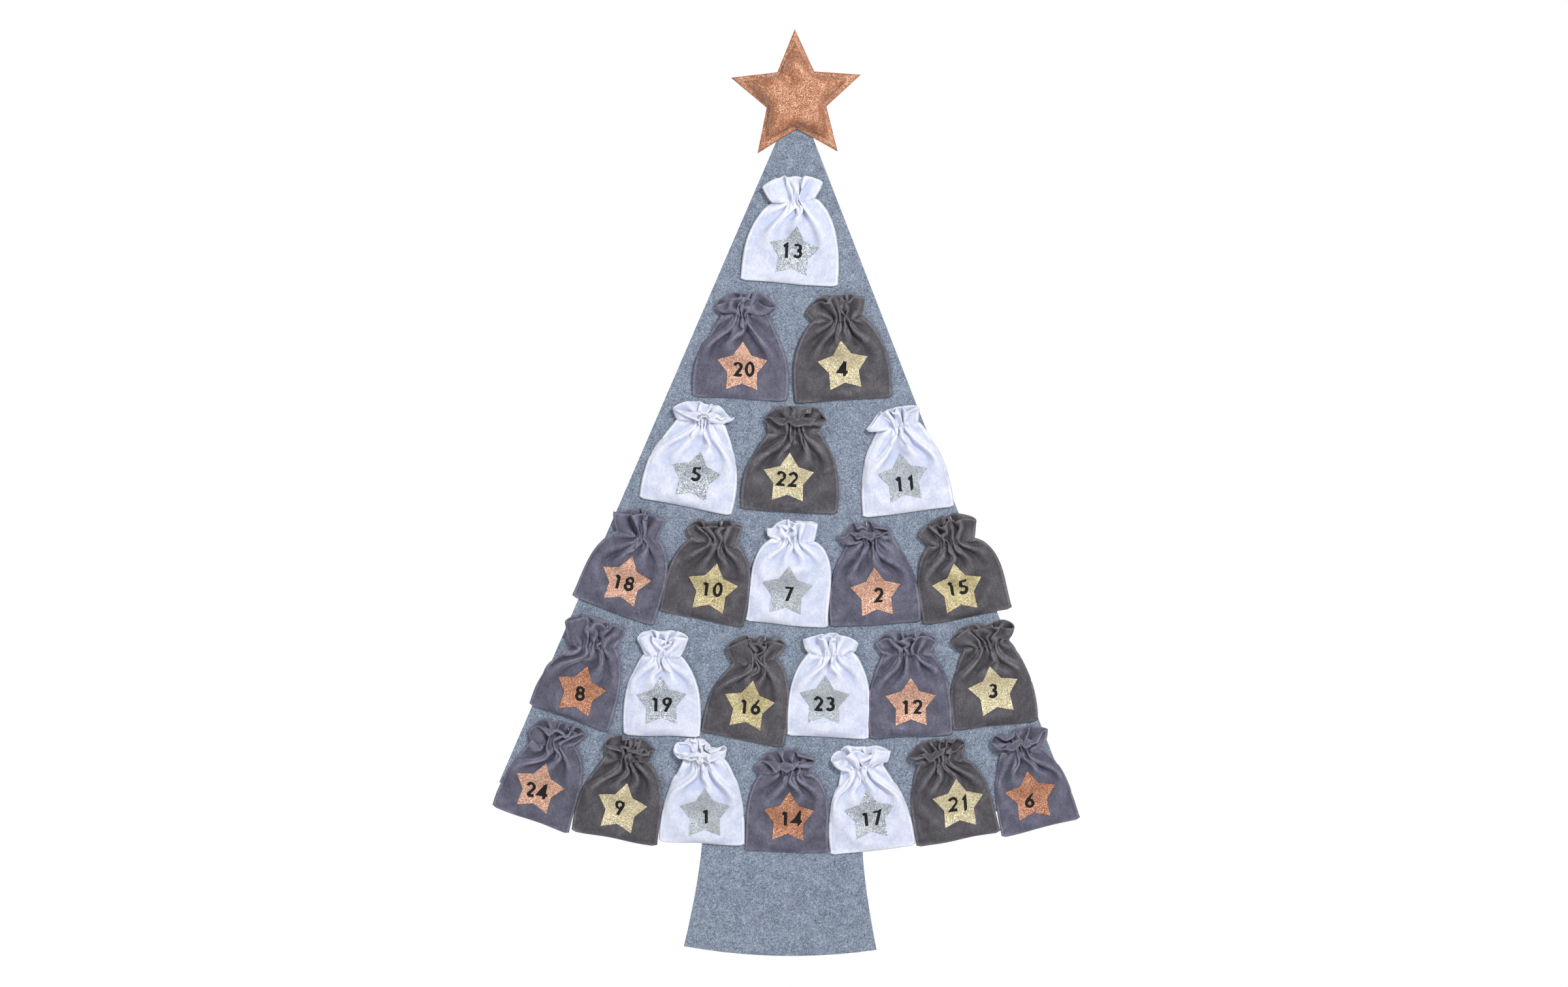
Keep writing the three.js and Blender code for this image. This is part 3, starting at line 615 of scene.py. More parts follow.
def slab(name, front, back, triangles, body, materials):
    """A closed sheet between two layers of points. Its cut edge has the last material."""
    count = len(front)
    walls = [(b, a, a + count, b + count) for a, b in border(triangles)]
    faces = [*map(tuple, triangles), *[(c + count, b + count, a + count) for a, b, c in triangles]]
    cut_faces = np.array([False] * len(faces) + [True] * len(walls))
    piece = make_piece(name, np.vstack([front, back]), faces + walls, body, materials, cut_faces)
    mark_sharp_rim(piece, walls)
    return piece


def mark_sharp_rim(piece, walls):
    """The edges round a cut rim stay sharp, so that its faces shade flat."""
    rim = {frozenset(pair) for a, b, c, d in walls for pair in ((a, b), (c, d))}
    sharp = [frozenset(edge.vertices) in rim for edge in piece.data.edges]
    attribute = piece.data.attributes.new("sharp_edge", "BOOLEAN", "EDGE")
    attribute.data.foreach_set("value", sharp)


def tube(name, path, radius, body, material, sides=6, closed=False, lobes=0, twist=0.0):
    """A thread along a path in metres. lobes and twist give a cord its strands."""
    path = np.asarray(path, float)
    count = len(path)
    tangents = np.roll(path, -1, axis=0) - np.roll(path, 1, axis=0)
    if not closed:
        tangents[0], tangents[-1] = path[1] - path[0], path[-1] - path[-2]
    tangents /= np.linalg.norm(tangents, axis=1, keepdims=True)
    across = np.zeros_like(path)
    side = np.cross(tangents[0], (0.0, 1.0, 0.0))
    if np.linalg.norm(side) < 0.1:
        side = np.cross(tangents[0], (1.0, 0.0, 0.0))
    for i in range(count):
        side = side - tangents[i] * (side @ tangents[i])
        side = side / np.linalg.norm(side)
        across[i] = side
    up = np.cross(tangents, across)
    angles = 2 * math.pi * np.arange(sides) / sides
    strands = np.cos(lobes * angles + twist * np.arange(count)[:, None]) if lobes else 0.0
    reach = radius * (1 + STRAND_DEPTH * strands) * np.ones((count, sides))
    turned = (np.cos(angles)[:, None] * across[:, None] + np.sin(angles)[:, None] * up[:, None])
    vertices = (path[:, None] + reach[..., None] * turned).reshape(-1, 3)
    rings = np.arange(count * sides).reshape(count, sides)
    here, there = (rings, np.roll(rings, -1, 0)) if closed else (rings[:-1], rings[1:])
    faces = np.stack([here, np.roll(here, -1, 1), np.roll(there, -1, 1), there], axis=-1)
    faces = faces.reshape(-1, 4).tolist()
    if not closed:
        faces += [rings[0, ::-1], rings[-1]]
    return make_piece(name, vertices, faces, body, [material])


# The felt tree, from the outline of its CAD solid


def cap_outline(node, y):
    """The outline, as points (x, z), of a node's flat face in the plane y."""
    mesh = frame["nodes"][node].data
    places = [tuple(round(c, 6) for c in v.co) for v in mesh.vertices]
    sides = set()
    for polygon in mesh.polygons:
        corners = [places[i] for i in polygon.vertices]
        if all(abs(c[1] - y) < 1e-5 for c in corners):
            sides |= {(a, b) for a, b in zip(corners, corners[1:] + corners[:1])}
    following = {a: b for a, b in sides if (b, a) not in sides}
    start = min(following)
    outline, point = [start], following[start]
    while point != start:
        outline.append(point)
        point = following[point]
    return np.array([(x, z) for x, _, z in outline])


def felt_tree():
    """The tree's felt sheet, which hangs in slow waves, more so in front than behind."""
    flat, triangles = filled(cap_outline("tree_panel", FELT_FRONT), FELT_GRID)
    swell = 0
    for size, turn in FELT_WAVES:
        along = flat @ np.array([math.cos(turn), math.sin(turn)])
        swell = swell + np.sin(2 * math.pi * along / size + rng.uniform(0, 6.28))
    wave = FELT_WAVE * (swell / len(FELT_WAVES) - 1) / 2
    front = np.column_stack([flat[:, 0], FELT_FRONT - wave, flat[:, 1]])
    back = np.column_stack([flat[:, 0], FELT_BACK - wave * 0.2, flat[:, 1]])
    tree = slab("felt_tree", front, back, triangles, "panel", ["felt", "felt_cut"])
    bevel = tree.modifiers.new("soft edge", "BEVEL")
    bevel.width, bevel.segments, bevel.limit_method = FELT_SOFT_EDGE, 2, "ANGLE"
    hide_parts("tree_panel")
    size = flat.max(axis=0) - flat.min(axis=0)
    return tree


# Pouches: flat bags whose necks are drawn into pleats, and the cloth left to follow

# Each column's side of the bag, its place across it and how far the bag swells there, and each
# row's share of the way up the body and up the ruffle
HALF = COLUMNS // 2
FRONT = np.arange(COLUMNS) <= HALF
ROUND = np.arange(COLUMNS) / HALF
ACROSS = np.where(FRONT, ROUND - 0.5, 1.5 - ROUND).astype(np.float32)
LENS = np.sqrt(np.clip(1 - (2 * ACROSS) ** 2, 0, 1)).astype(np.float32)
BELOW = np.clip(np.arange(ROWS) / NECK_ROW, 0, 1)
ABOVE = np.clip((np.arange(ROWS) - NECK_ROW) / (ROWS - 1 - NECK_ROW), 0, 1)


def smoothed(line, width):
    """A line of numbers evened out over a width of neighbours."""
    kernel = np.hanning(width + 2)[1:-1]
    padded = np.pad(line, width // 2, "edge")
    return np.convolve(padded, kernel / kernel.sum(), "valid")[:len(line)]


def pleat_pattern(pouch):
    """How one side of the bag is drawn together along its neck: at each point of the flat cloth the
    share of its width that is left, and whether the cloth goes out or in there."""
    hem = pouch["hem"]
    place = np.linspace(-0.5, 0.5, 481) * hem
    pleated = 0.5 * hem * (1 - pouch["flat"] * 0.6)
    aside = 1 / (1 + np.exp(-(np.abs(place - pouch["middle"]) - pleated) / 2.0))
    # The width left in the pleats is halved in on, until the whole neck has its drawn width
    low, high = 0.0, 0.95
    for _ in range(30):
        kept = (low + high) / 2
        if (kept + (FLAT_SHARE - kept) * aside).mean() * hem > pouch["neck_width"]:
            high = kept
        else:
            low = kept
    left = kept + (FLAT_SHARE - kept) * aside
    outwards = np.ones_like(place)
    start, direction = -hem / 2, 1
    while start < hem / 2:
        end = start + pouch["pleat"] * rng.uniform(*PLEAT_RANGE)
        outwards[(place >= start) & (place < end)] = direction
        start, direction = end, -direction
    return place, left, outwards


def drawn_neck(pattern, done, columns):
    """Where the neck's points lie across and outwards when it is drawn together so far."""
    place, left, outwards = pattern
    share = 1 - (1 - left) * done
    step = place[1] - place[0]
    across = np.cumsum(share) * step
    across -= (across[0] + across[-1]) / 2
    out = np.cumsum(outwards * np.sqrt(np.clip(1 - share ** 2, 0, 1))) * step
    out -= smoothed(out, 81)
    out = smoothed(out, 7) * np.clip((place[-1] - np.abs(place)) / 8.0, 0, 1)
    return np.interp(columns, place, across), np.interp(columns, place, out)


def side_line(pouch, side, heights):
    """How far out each height of a side seam is pulled, from the hem up to the ruffle's ear."""
    sign = 1 if side else -1
    neck_x, neck_z = pouch["neck"][side]
    half = pouch["hem"] / 2
    levels = (0.0, 0.5, 0.75, 1.0)
    shares = (1.0, *pouch["widths"], abs(neck_x) / half)
    up = np.clip(heights / neck_z, 0, 1)
    body = sum(share * np.prod([(up - other) / (level - other) for other in levels
                                if other != level], axis=0)
               for level, share in zip(levels, shares))
    flare = np.clip((heights - neck_z) / (pouch["top"] - neck_z), 0, 1) ** 0.75
    ruffle = abs(neck_x) + (abs(pouch["ears"][side][0]) - abs(neck_x)) * flare
    return sign * np.where(heights <= neck_z, half * body, ruffle)


def lengthwise(points, rest, amount, axis):
    """Brings neighbouring points along one way of the cloth back to their rest distance."""
    if axis == 2:
        gap = np.roll(points, -1, 2) - points
    else:
        gap = points[:, 1:] - points[:, :-1]
    size = np.sqrt(np.einsum("abci,abci->abc", gap, gap)) + 1e-6
    pull = gap * ((size - rest) / size * amount)[..., None]
    if axis == 2:
        points += pull - np.roll(pull, 1, 2)
    else:
        points[:, :-1] += pull
        points[:, 1:] -= pull


def crosswise(points, rest, amount):
    """The same across the cells of the cloth, which keeps its weave square."""
    for shift in (-1, 1):
        gap = np.roll(points[:, 1:], shift, 2) - points[:, :-1]
        size = np.sqrt(np.einsum("abci,abci->abc", gap, gap)) + 1e-6
        pull = gap * ((size - rest) / size * amount)[..., None]
        points[:, :-1] += pull
        points[:, 1:] -= np.roll(pull, -shift, 2)


def unbend(points, stiff):
    """Straightens the cloth a little both ways. stiff is each point's share of that."""
    for stride, amount in ((1, 0.16), (2, 0.05)):
        bend = np.roll(points, stride, 2) + np.roll(points, -stride, 2) - 2 * points
        bend *= stiff[0]
        points += amount * (bend - 0.5 * (np.roll(bend, stride, 2) + np.roll(bend, -stride, 2)))
        bend = points[:, 2 * stride:] + points[:, :-2 * stride] - 2 * points[:, stride:-stride]
        bend *= amount * stiff[1][:, stride:-stride]
        points[:, stride:-stride] += bend
        points[:, 2 * stride:] -= 0.5 * bend
        points[:, :-2 * stride] -= 0.5 * bend


def gathered_rows(pouch, patterns, heights):
    """Where the rows next to the neck lie while it is drawn, as flutes that open out from it."""
    goal = np.zeros((len(heights), COLUMNS, 2), np.float32)
    for i, height in enumerate(heights):
        left, right = (float(side_line(pouch, side, np.array(height))) for side in (0, 1))
        drawn = (1 - (right - left) / pouch["hem"]) / (1 - pouch["neck_width"] / pouch["hem"])
        rise = max(0.0, height - pouch["neck_mid"]) / pouch["ruffle"]
        for pattern, where, neck in zip(patterns, (FRONT, ~FRONT), NECK_HALVES):
            x, out = drawn_neck(pattern, np.clip(drawn, 0, 1), ACROSS[where] * pouch["hem"])
            middle = neck["middle"] + neck["opens"] * rise
            goal[i, where, 0] = x + (left + right) / 2
            goal[i, where, 1] = (NECK_SIDE + (middle - NECK_SIDE) * LENS[where]
                                 + out * neck["flutes"])
    return goal


def wide_waves(count):
    """For each pouch a smooth random wave along its columns, which throws the ruffle in lobes."""
    waves = rng.normal(0, 1, (count, COLUMNS))
    for _ in range(LOBE_SMOOTHING):
        waves = (waves + np.roll(waves, 1, 1) + np.roll(waves, -1, 1)) / 3
    waves = waves / waves.std(axis=1, keepdims=True)
    return np.clip(waves, -1.6, 1.6).astype(np.float32)


def hem_waves(count):
    """How far each pouch's hem rises along its columns."""
    return HEM_WAVE * np.stack([
        1 + np.sin(2 * math.pi * (ACROSS * rng.uniform(0.7, 1.6) + rng.uniform()))
        for _ in range(count)])


def values(pouches, key):
    """One of the pouches' values as an array."""
    return np.array([pouch[key] for pouch in pouches], np.float32)


def rest_lengths(pouches, heights):
    """How far apart neighbours lie at rest: across, up the cloth and over a cell's diagonal. The
    ruffle is as long as the way to its ears at its sides, and as the way to its lips between."""
    rest_x = (2 * values(pouches, "hem") / COLUMNS)[:, None, None]
    rest_z = np.repeat(np.diff(heights, axis=1)[:, :, None], COLUMNS, axis=2)
    diagonal = np.sqrt(rest_x ** 2 + rest_z ** 2)
    for k, p in enumerate(pouches):
        ears = [math.dist(p["neck"][side], p["ears"][side]) / p["ruffle"] for side in (0, 1)]
        short = np.where(ACROSS < 0, *ears)
        full = np.where(FRONT, 1 - 0.6 * p["open"] / p["ruffle"], 1.0)
        rest_z[k, NECK_ROW:] *= short + (full - short) * np.clip(LENS * 1.25, 0, 1)
    return rest_x, rest_z, diagonal


def stiffness(pouches, heights):
    """Each point's share of the cloth's stiffness, across and up. The glitter star stiffens the
    cloth that it is bonded to, and the cloth folds freely across its side seams."""
    hems = values(pouches, "hem")
    stiff = np.full((len(pouches), ROWS, COLUMNS, 1), CLOTH_STIFF, np.float32)
    for k, p in enumerate(pouches):
        star_x, star_z = p["star"][0], p["star"][1] * FLAT_STRETCH
        away = np.hypot(ACROSS * hems[k] - star_x, heights[k][:, None] - star_z)
        bonded = np.clip((PATCH_RADIUS - 2 - away) / 6, 0, 1)
        stiff[k, ..., 0] += np.where(FRONT, STAR_STIFF * bonded, 0)
    unsewn = np.ones((COLUMNS, 1), np.float32)
    unsewn[[0, HALF]] = 0.0
    return stiff * unsewn, stiff


def undrawn_bags(pouches, heights):
    """The bags before their necks are drawn: smooth, a little swollen, and dented at random."""
    points = np.zeros((len(pouches), ROWS, COLUMNS, 3), np.float32)
    points[..., 0] = ACROSS * values(pouches, "hem")[:, None, None]
    points[..., 2] = heights[:, :, None]
    swell = np.sin(np.arange(ROWS) / (ROWS - 1) * math.pi * 0.8)[None, :, None]
    belly = np.where(FRONT, SWELL_FRONT * LENS, SWELL_BACK * LENS) + SWELL_LEAST
    points[..., 1] = START_OUT + belly * swell
    dents = rng.normal(0, 1, (len(pouches), ROWS, COLUMNS)).astype(np.float32)
    for _ in range(6):
        dents = (dents + np.roll(dents, 1, 2) + np.roll(dents, -1, 2)) / 3
        dents[:, 1:-1] = (dents[:, 1:-1] + dents[:, 2:] + dents[:, :-2]) / 3
    points[..., 1] += DENT * dents / dents.std() * np.where(FRONT, 1, 0.3) * swell
    return points


def simulate(pouches, steps):
    """Hangs a batch of pouches. The points are (pouch, row, column, xyz) in millimetres: x across,
    y out from the felt and z up from the hem. Columns run from the left seam over the front to
    the right seam and back behind."""
    hems, necks, tops, ruffles = (values(pouches, key)
                                  for key in ("hem", "neck_mid", "top", "ruffle"))
    heights = ((necks + BELLY_SLACK)[:, None] * BELOW + ruffles[:, None] * ABOVE).astype(np.float32)
    final = (necks[:, None] * BELOW + (tops - necks)[:, None] * ABOVE).astype(np.float32)
    rest_x, rest_z, diagonal = rest_lengths(pouches, heights)
    seams = [np.stack([side_line(p, side, h) for p, h in zip(pouches, final)]) for side in (0, 1)]
    patterns = [[pleat_pattern(p) for _ in NECK_HALVES] for p in pouches]
    near = slice(NECK_ROW - GATHERED_BELOW, ROWS)
    goals = np.stack([gathered_rows(p, pattern, h[near])
                      for p, pattern, h in zip(pouches, patterns, final)])
    hold = np.clip(np.arange(ROWS - near.start) / GATHERED_BELOW, 0, 1)
    hold = (hold * (1 - RUFFLE_LOOSE * ABOVE[near]))[None, :, None, None]
    lobes = wide_waves(len(pouches))
    stiff = stiffness(pouches, heights)
    points = undrawn_bags(pouches, heights)

    ruffle, quarter = slice(NECK_ROW + 1, ROWS), HALF // 4
    lips = [(slice(quarter, HALF - quarter), tops - values(pouches, "open")),
            (slice(HALF + quarter, COLUMNS - quarter), tops)]
    press = (PRESSURE * np.sqrt(1 - BELOW))[None, :, None, None]
    opening = (MOUTH_PUSH * ABOVE[None, :, None] * np.where(FRONT, LENS, -LENS)).astype(np.float32)
    opening = opening + LOBE_PUSH * (ABOVE[:, None] * (LENS * lobes)[:, None, :]).astype(np.float32)
    uneven = LOBE_RISE * np.roll(lobes, COLUMNS // 16, 1)
    wave = hem_waves(len(pouches))
    tack = slice(HALF + HALF // 2 - 1, HALF + HALF // 2 + 2)
    previous = points.copy()
    for step in range(steps):
        done = min(1.0, step / (0.5 * steps))
        speed = (points - previous) * (SPEED_KEPT if step < 0.8 * steps else LATE_SPEED_KEPT)
        previous = points.copy()
        points += speed
        normal = np.cross(np.roll(points, -1, 2) - np.roll(points, 1, 2), np.gradient(points, axis=1))
        normal /= np.sqrt(np.einsum("abci,abci->abc", normal, normal))[..., None] + 1e-6
        points += (normal * press).astype(np.float32)
        points[..., 1] += opening
        for _ in range(WEAVE_ROUNDS):
            lengthwise(points, rest_x, WEAVE_PULL, axis=2)
            lengthwise(points, rest_z, WEAVE_PULL, axis=1)
        crosswise(points, diagonal, BIAS_PULL)
        unbend(points, stiff)
        for seam, line, side in zip((0, HALF), seams, (0, 1)):
            points[:, :, seam, 0] += SEAM_PULL * (line - points[:, :, seam, 0])
            ears = np.array([p["ears"][side][1] for p in pouches])
            points[:, -1, seam, 2] += EAR_PULL * (ears - points[:, -1, seam, 2])
        for where, level in lips:
            goal = necks[:, None] + (level - necks)[:, None] * ABOVE[ruffle]
            goal = goal[:, :, None] + ABOVE[ruffle][:, None] * uneven[:, None, where]
            points[:, ruffle, where, 2] += LIP_PULL * (goal - points[:, ruffle, where, 2])
        if step < 0.75 * steps:
            points[:, near, :, :2] += GATHER_PULL * done * hold * (goals - points[:, near, :, :2])
        lay_hem(points, hems, wave)
        draw_neck(points, pouches, patterns, done)
        points[..., 1] = np.clip(points[..., 1], SIDE_BEHIND, DEEPEST)
        keep_apart(points)
        points[:, -1, tack, 1] = SIDE_BEHIND
        points[:, -1, tack, 2] += TACK_PULL * (tops[:, None] - points[:, -1, tack, 2])
        leave_room(points, values(pouches, "room"))
    return points


def leave_room(points, room):
    """Keeps the ruffle so low that a lifted pouch clears the felt behind and the hem above it."""
    out = points[:, NECK_ROW:, :, 1]
    behind = ROOM_FILLED * (out - SIDE_BEHIND) / math.tan(LIFT)
    above = (room[:, None, None] - (out - HINGE_OUT) * math.sin(LIFT)) / math.cos(LIFT)
    limit = POUCH_HEIGHT + np.minimum(behind, above)
    points[:, NECK_ROW:, :, 2] = np.minimum(points[:, NECK_ROW:, :, 2], limit)


def lay_hem(points, hems, wave):
    """Holds the hem, which waves a little and turns up over the last twentieth at each side."""
    points[:, 0, :, 0] = ACROSS * hems[:, None]
    points[:, 0, :, 1] = np.where(FRONT, HEM_FRONT, HEM_BACK)
    points[:, 0, :, 2] = wave + HEM_CORNER * np.clip(2 * np.abs(ACROSS) - 0.9, 0, 1) * 10


def draw_neck(points, pouches, patterns, done):
    """Holds the neck's row of points where the thread has drawn it so far."""
    for k, p in enumerate(pouches):
        (left, low), (right, high) = p["neck"]
        start = p["neck_mid"] + BELLY_SLACK
        for pattern, side, neck in zip(patterns[k], (FRONT, ~FRONT), NECK_HALVES):
            where = np.where(side)[0]
            x, out = drawn_neck(pattern, done, ACROSS[where] * p["hem"])
            depth = NECK_SIDE + (neck["middle"] - NECK_SIDE) * LENS[where] + out * neck["pleats"]
            height = p["neck_mid"] - neck["drop"] * LENS[where]
            height = height + (high - low) / 2 * x / (abs(x).max() + 1e-6)
            points[k, NECK_ROW, where, 0] = x + (left + right) / 2 * done
            points[k, NECK_ROW, where, 1] = np.clip(depth, 0.8, 16)
            points[k, NECK_ROW, where, 2] = start + (height - start) * done


def keep_apart(points):
    """Keeps the front of each bag clear of its back."""
    behind = points[:, :, ::-1][:, :, :HALF - 1]
    before = points[:, :, 1:HALF]
    push = np.clip(LAYERS_APART - (before[..., 1] - behind[..., 1]), 0, 3) * 0.5
    before[..., 1] += push
    behind[..., 1] -= push


def hung_frame(day):
    """The place of a pouch, its lean in radians and its sizes, from the joint and the CAD solids."""
    label = f"{day:02d}"
    joint = next(j for j in frame["joints"] if j["child"] == f"pouch_{label}")
    tack = np.array(joint["pos_m"])
    lean = math.atan2(joint["axis"][2], -joint["axis"][0])

    def local(points):
        """Points in millimetres across and up from the tack, turned upright."""
        x, z = points[:, 0] - tack[0], points[:, 2] - tack[2]
        return np.column_stack([x * math.cos(lean) - z * math.sin(lean),
                                z * math.cos(lean) + x * math.sin(lean)]) / MM

    bag = local(np.array([v.co for v in frame["nodes"][f"pouch_{label}"].data.vertices]))
    hem = 2 * abs(bag[bag[:, 1] < bag[:, 1].min() + 1, 0]).max()
    patch = frame["nodes"][f"star_patch_{label}"].data
    backs = [p for p in patch.polygons if p.normal.y > 0.3]
    weights = np.array([p.area * p.normal.y for p in backs])
    centre = local(weights[None] @ np.array([p.center for p in backs]) / weights.sum())[0]
    star = local(np.array([v.co for v in patch.vertices])) - centre
    tips = star[np.hypot(*star.T) > PATCH_RADIUS - 1]
    turn = np.angle(np.exp(5j * np.arctan2(*tips.T)).mean()) / 5
    return dict(tack=tack, lean=lean, hem=hem, star=centre + (0, POUCH_HEIGHT), turn=turn)


def to_world(pouch, points):
    """Points across, outwards and over the hem, in millimetres, as points of the shared frame."""
    x, out, up = points[..., 0] * MM, points[..., 1] * MM, (points[..., 2] - POUCH_HEIGHT) * MM
    lean = pouch["lean"]
    return np.stack([
        pouch["tack"][0] + x * math.cos(lean) + up * math.sin(lean),
        FELT_FRONT - out,
        pouch["tack"][2] + up * math.cos(lean) - x * math.sin(lean)], axis=-1)


def bag_mesh(pouch, points):
    """The pouch's cloth as vertices and faces, with a ridge beside its side seams and its hem
    closed by a rolled row."""
    points = points.copy()
    ridge = np.zeros(COLUMNS)
    for seam in (0, HALF):
        apart = np.minimum((np.arange(COLUMNS) - seam) % COLUMNS, (seam - np.arange(COLUMNS)) % COLUMNS)
        ridge += np.where(apart == 1, SEAM_RIDGE, 0.0) - np.where(apart == 2, SEAM_DIP, 0.0)
    points[1:, :, 1] += np.where(FRONT, ridge, 0.0)
    bottom = points[0, :HALF + 1].copy()
    bottom[:, 1] = (HEM_FRONT + HEM_BACK) / 2
    bottom[:, 2] -= HEM_ROLL
    grid = np.arange(ROWS * COLUMNS).reshape(ROWS, COLUMNS)
    following = np.roll(grid, -1, axis=1)
    faces = np.stack([grid[:-1], following[:-1], following[1:], grid[1:]], axis=-1).reshape(-1, 4)
    pair = np.where(FRONT, np.arange(COLUMNS), COLUMNS - np.arange(COLUMNS)) + ROWS * COLUMNS
    hem = np.stack([pair, np.roll(pair, -1), following[0], grid[0]], axis=-1)
    vertices = to_world(pouch, np.vstack([points.reshape(-1, 3), bottom]))
    return vertices, np.vstack([faces, hem])


def sew_pouch(day, pouch, points):
    """One pouch with its gathering thread, tack, number star and number."""
    label, body = f"{day:02d}", f"pouch_{day:02d}"
    vertices, faces = bag_mesh(pouch, points)
    cloth = pouch["cloth"]
    bag = make_piece(f"bag_{label}", vertices, faces, body, [cloth, f"{cloth}_cut"])
    thick = bag.modifiers.new("cloth", "SOLIDIFY")
    thick.thickness, thick.offset = CLOTH * MM, 0.0
    thick.material_offset_rim = 1
    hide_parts(f"pouch_{label}")
    tree = BVHTree.FromPolygons([tuple(v) for v in vertices], [tuple(f) for f in faces])
    extras = [gathering_thread(label, body, pouch, points), tack_thread(label, body, pouch, points)]
    extras += number_star(day, body, pouch, tree)


def gathering_thread(label, body, pouch, points):
    """Elastic thread that runs in and out of the cloth round the neck, so that only dashes show."""
    ring = points[NECK_ROW]
    along = np.roll(ring, -1, 0) - np.roll(ring, 1, 0)
    normal = np.cross(along, points[NECK_ROW + 1] - points[NECK_ROW - 1])
    inwards = normal[:, 1] * np.where(FRONT, 1, -1) < 0
    normal *= np.where(inwards, -1, 1)[:, None]
    normal /= np.linalg.norm(normal, axis=1, keepdims=True) + 1e-6
    steps = 3
    share = np.arange(COLUMNS * steps) / steps
    ends = np.arange(COLUMNS + 1)
    wrapped = [np.vstack([a, a[:1]]) for a in (ring, normal)]
    path, out = (np.column_stack([np.interp(share, ends, a[:, i]) for i in range(3)]) for a in wrapped)
    travelled = np.cumsum(np.linalg.norm(np.diff(path, axis=0, append=path[:1]), axis=1))
    stitch = 2 * math.pi * np.round(travelled[-1] / STITCH_LENGTH) * travelled / travelled[-1]
    path = path + out * (CLOTH / 2 + STITCH_DEPTH * np.sin(stitch) + 0.05)[:, None]
    path[:, 1] = np.maximum(path[:, 1], 0.35)
    return tube(f"gathering_thread_{label}", to_world(pouch, path), ELASTIC_RADIUS * MM, body,
                f"{pouch['cloth']}_elastic", sides=5, closed=True)


def tack_thread(label, body, pouch, points):
    """The short white stitch that holds the rear lip to the felt."""
    lip = points[ROWS - 3, HALF + HALF // 3]
    path = lip + np.array([(0, CLOTH / 2 + 0.3, 1.6), (0, CLOTH / 2 + 0.5, 0.4),
                           (0.2, CLOTH / 2 + 0.5, -1.0), (0.3, CLOTH / 2 + 0.2, -2.0),
                           (0.3, 0.0, -2.2)])
    path[-1, 1] = 0.2
    return tube(f"tack_thread_{label}", to_world(pouch, path), TACK_RADIUS * MM, body, "tack")


def spin(turn):
    """What turns rows of flat points clockwise."""
    return np.array([[math.cos(turn), -math.sin(turn)], [math.sin(turn), math.cos(turn)]])


def draped(pouch, tree, flat):
    """Flat points over the hem laid on the front of the bag."""
    start = to_world(pouch, np.column_stack([flat[:, 0], np.full(len(flat), 60.0), flat[:, 1]]))
    depth = []
    for point in start:
        hit = tree.ray_cast(Vector(point), Vector((0, 1, 0)))[0]
        depth.append(hit.y if hit else np.nan)
    depth = np.array(depth)
    depth = np.where(np.isnan(depth), np.nanmedian(depth), depth)
    return np.column_stack([start[:, 0], depth, start[:, 2]])


def number_star(day, body, pouch, tree):
    """The glitter star on the pouch and the number printed on it."""
    label = f"{day:02d}"
    bottom = CLOTH / 2 + 0.1
    top = bottom + PATCH_THICKNESS
    x, z, number_turn = pouch["number"]
    upright = math.radians(number_turn - PHOTO_LEAN) - pouch["lean"]
    beside = np.array([[x, z]]) @ spin(-pouch["lean"])
    made = []
    for name, (flat, triangles), turn, shift, low, high, material in (
            (f"number_star_{label}", filled(star_outline(PATCH_RADIUS, PATCH_NOTCH), PATCH_GRID),
             pouch["turn"], 0, bottom, top, f"{pouch['glitter']}_glitter"),
            (f"number_{label}", triangulated(number_areas(day)),
             upright, beside, top - 0.1, top + PRINT_THICKNESS, "ink")):
        surface = draped(pouch, tree, flat @ spin(turn) + shift + pouch["star"])
        smooth_depth(surface, triangles)
        piece = slab(name, surface - (0, high * MM, 0), surface - (0, low * MM, 0), triangles, body,
                     [material])
        if material != "ink":
            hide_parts(f"star_patch_{label}")
        made.append(piece)
    return made


def smooth_depth(surface, triangles):
    """Evens out a draped sheet, which is stiffer than the cloth below it."""
    edges = edges_of(triangles)
    count = np.bincount(edges.ravel(), minlength=len(surface))
    for _ in range(2):
        total = np.zeros(len(surface))
        np.add.at(total, edges[:, 0], surface[edges[:, 1], 1])
        np.add.at(total, edges[:, 1], surface[edges[:, 0], 1])
        even = np.minimum(total / np.maximum(count, 1), surface[:, 1] + 1.0)
        surface[:, 1] = 0.5 * surface[:, 1] + 0.5 * even


def number_areas(day):
    """The strokes of a number as small four-sided areas, centred on its star, in millimetres."""
    characters = str(day)
    pace = DIGIT_WIDTH * DIGIT_HEIGHT + DIGIT_SPACE
    start = -(len(characters) * pace - DIGIT_SPACE) / 2
    areas = []
    for place, character in enumerate(characters):
        shift = np.array([start + place * pace, -DIGIT_HEIGHT / 2])
        shapes = DIGITS[character]
        for stroke in shapes.get("strokes", ()):
            areas += stroke_areas(np.array(stroke) * DIGIT_HEIGHT + shift)
        for x, y, reach_x, reach_y in shapes.get("rings", ()):
            inner, outer = (
                np.array(arc(x, y, reach_x + grow, reach_y + grow, 0, 360, 32)) * DIGIT_HEIGHT + shift
                for grow in (-0.5 * DIGIT_STROKE / DIGIT_HEIGHT, 0.5 * DIGIT_STROKE / DIGIT_HEIGHT))
            areas += quads(inner, outer)
    return areas


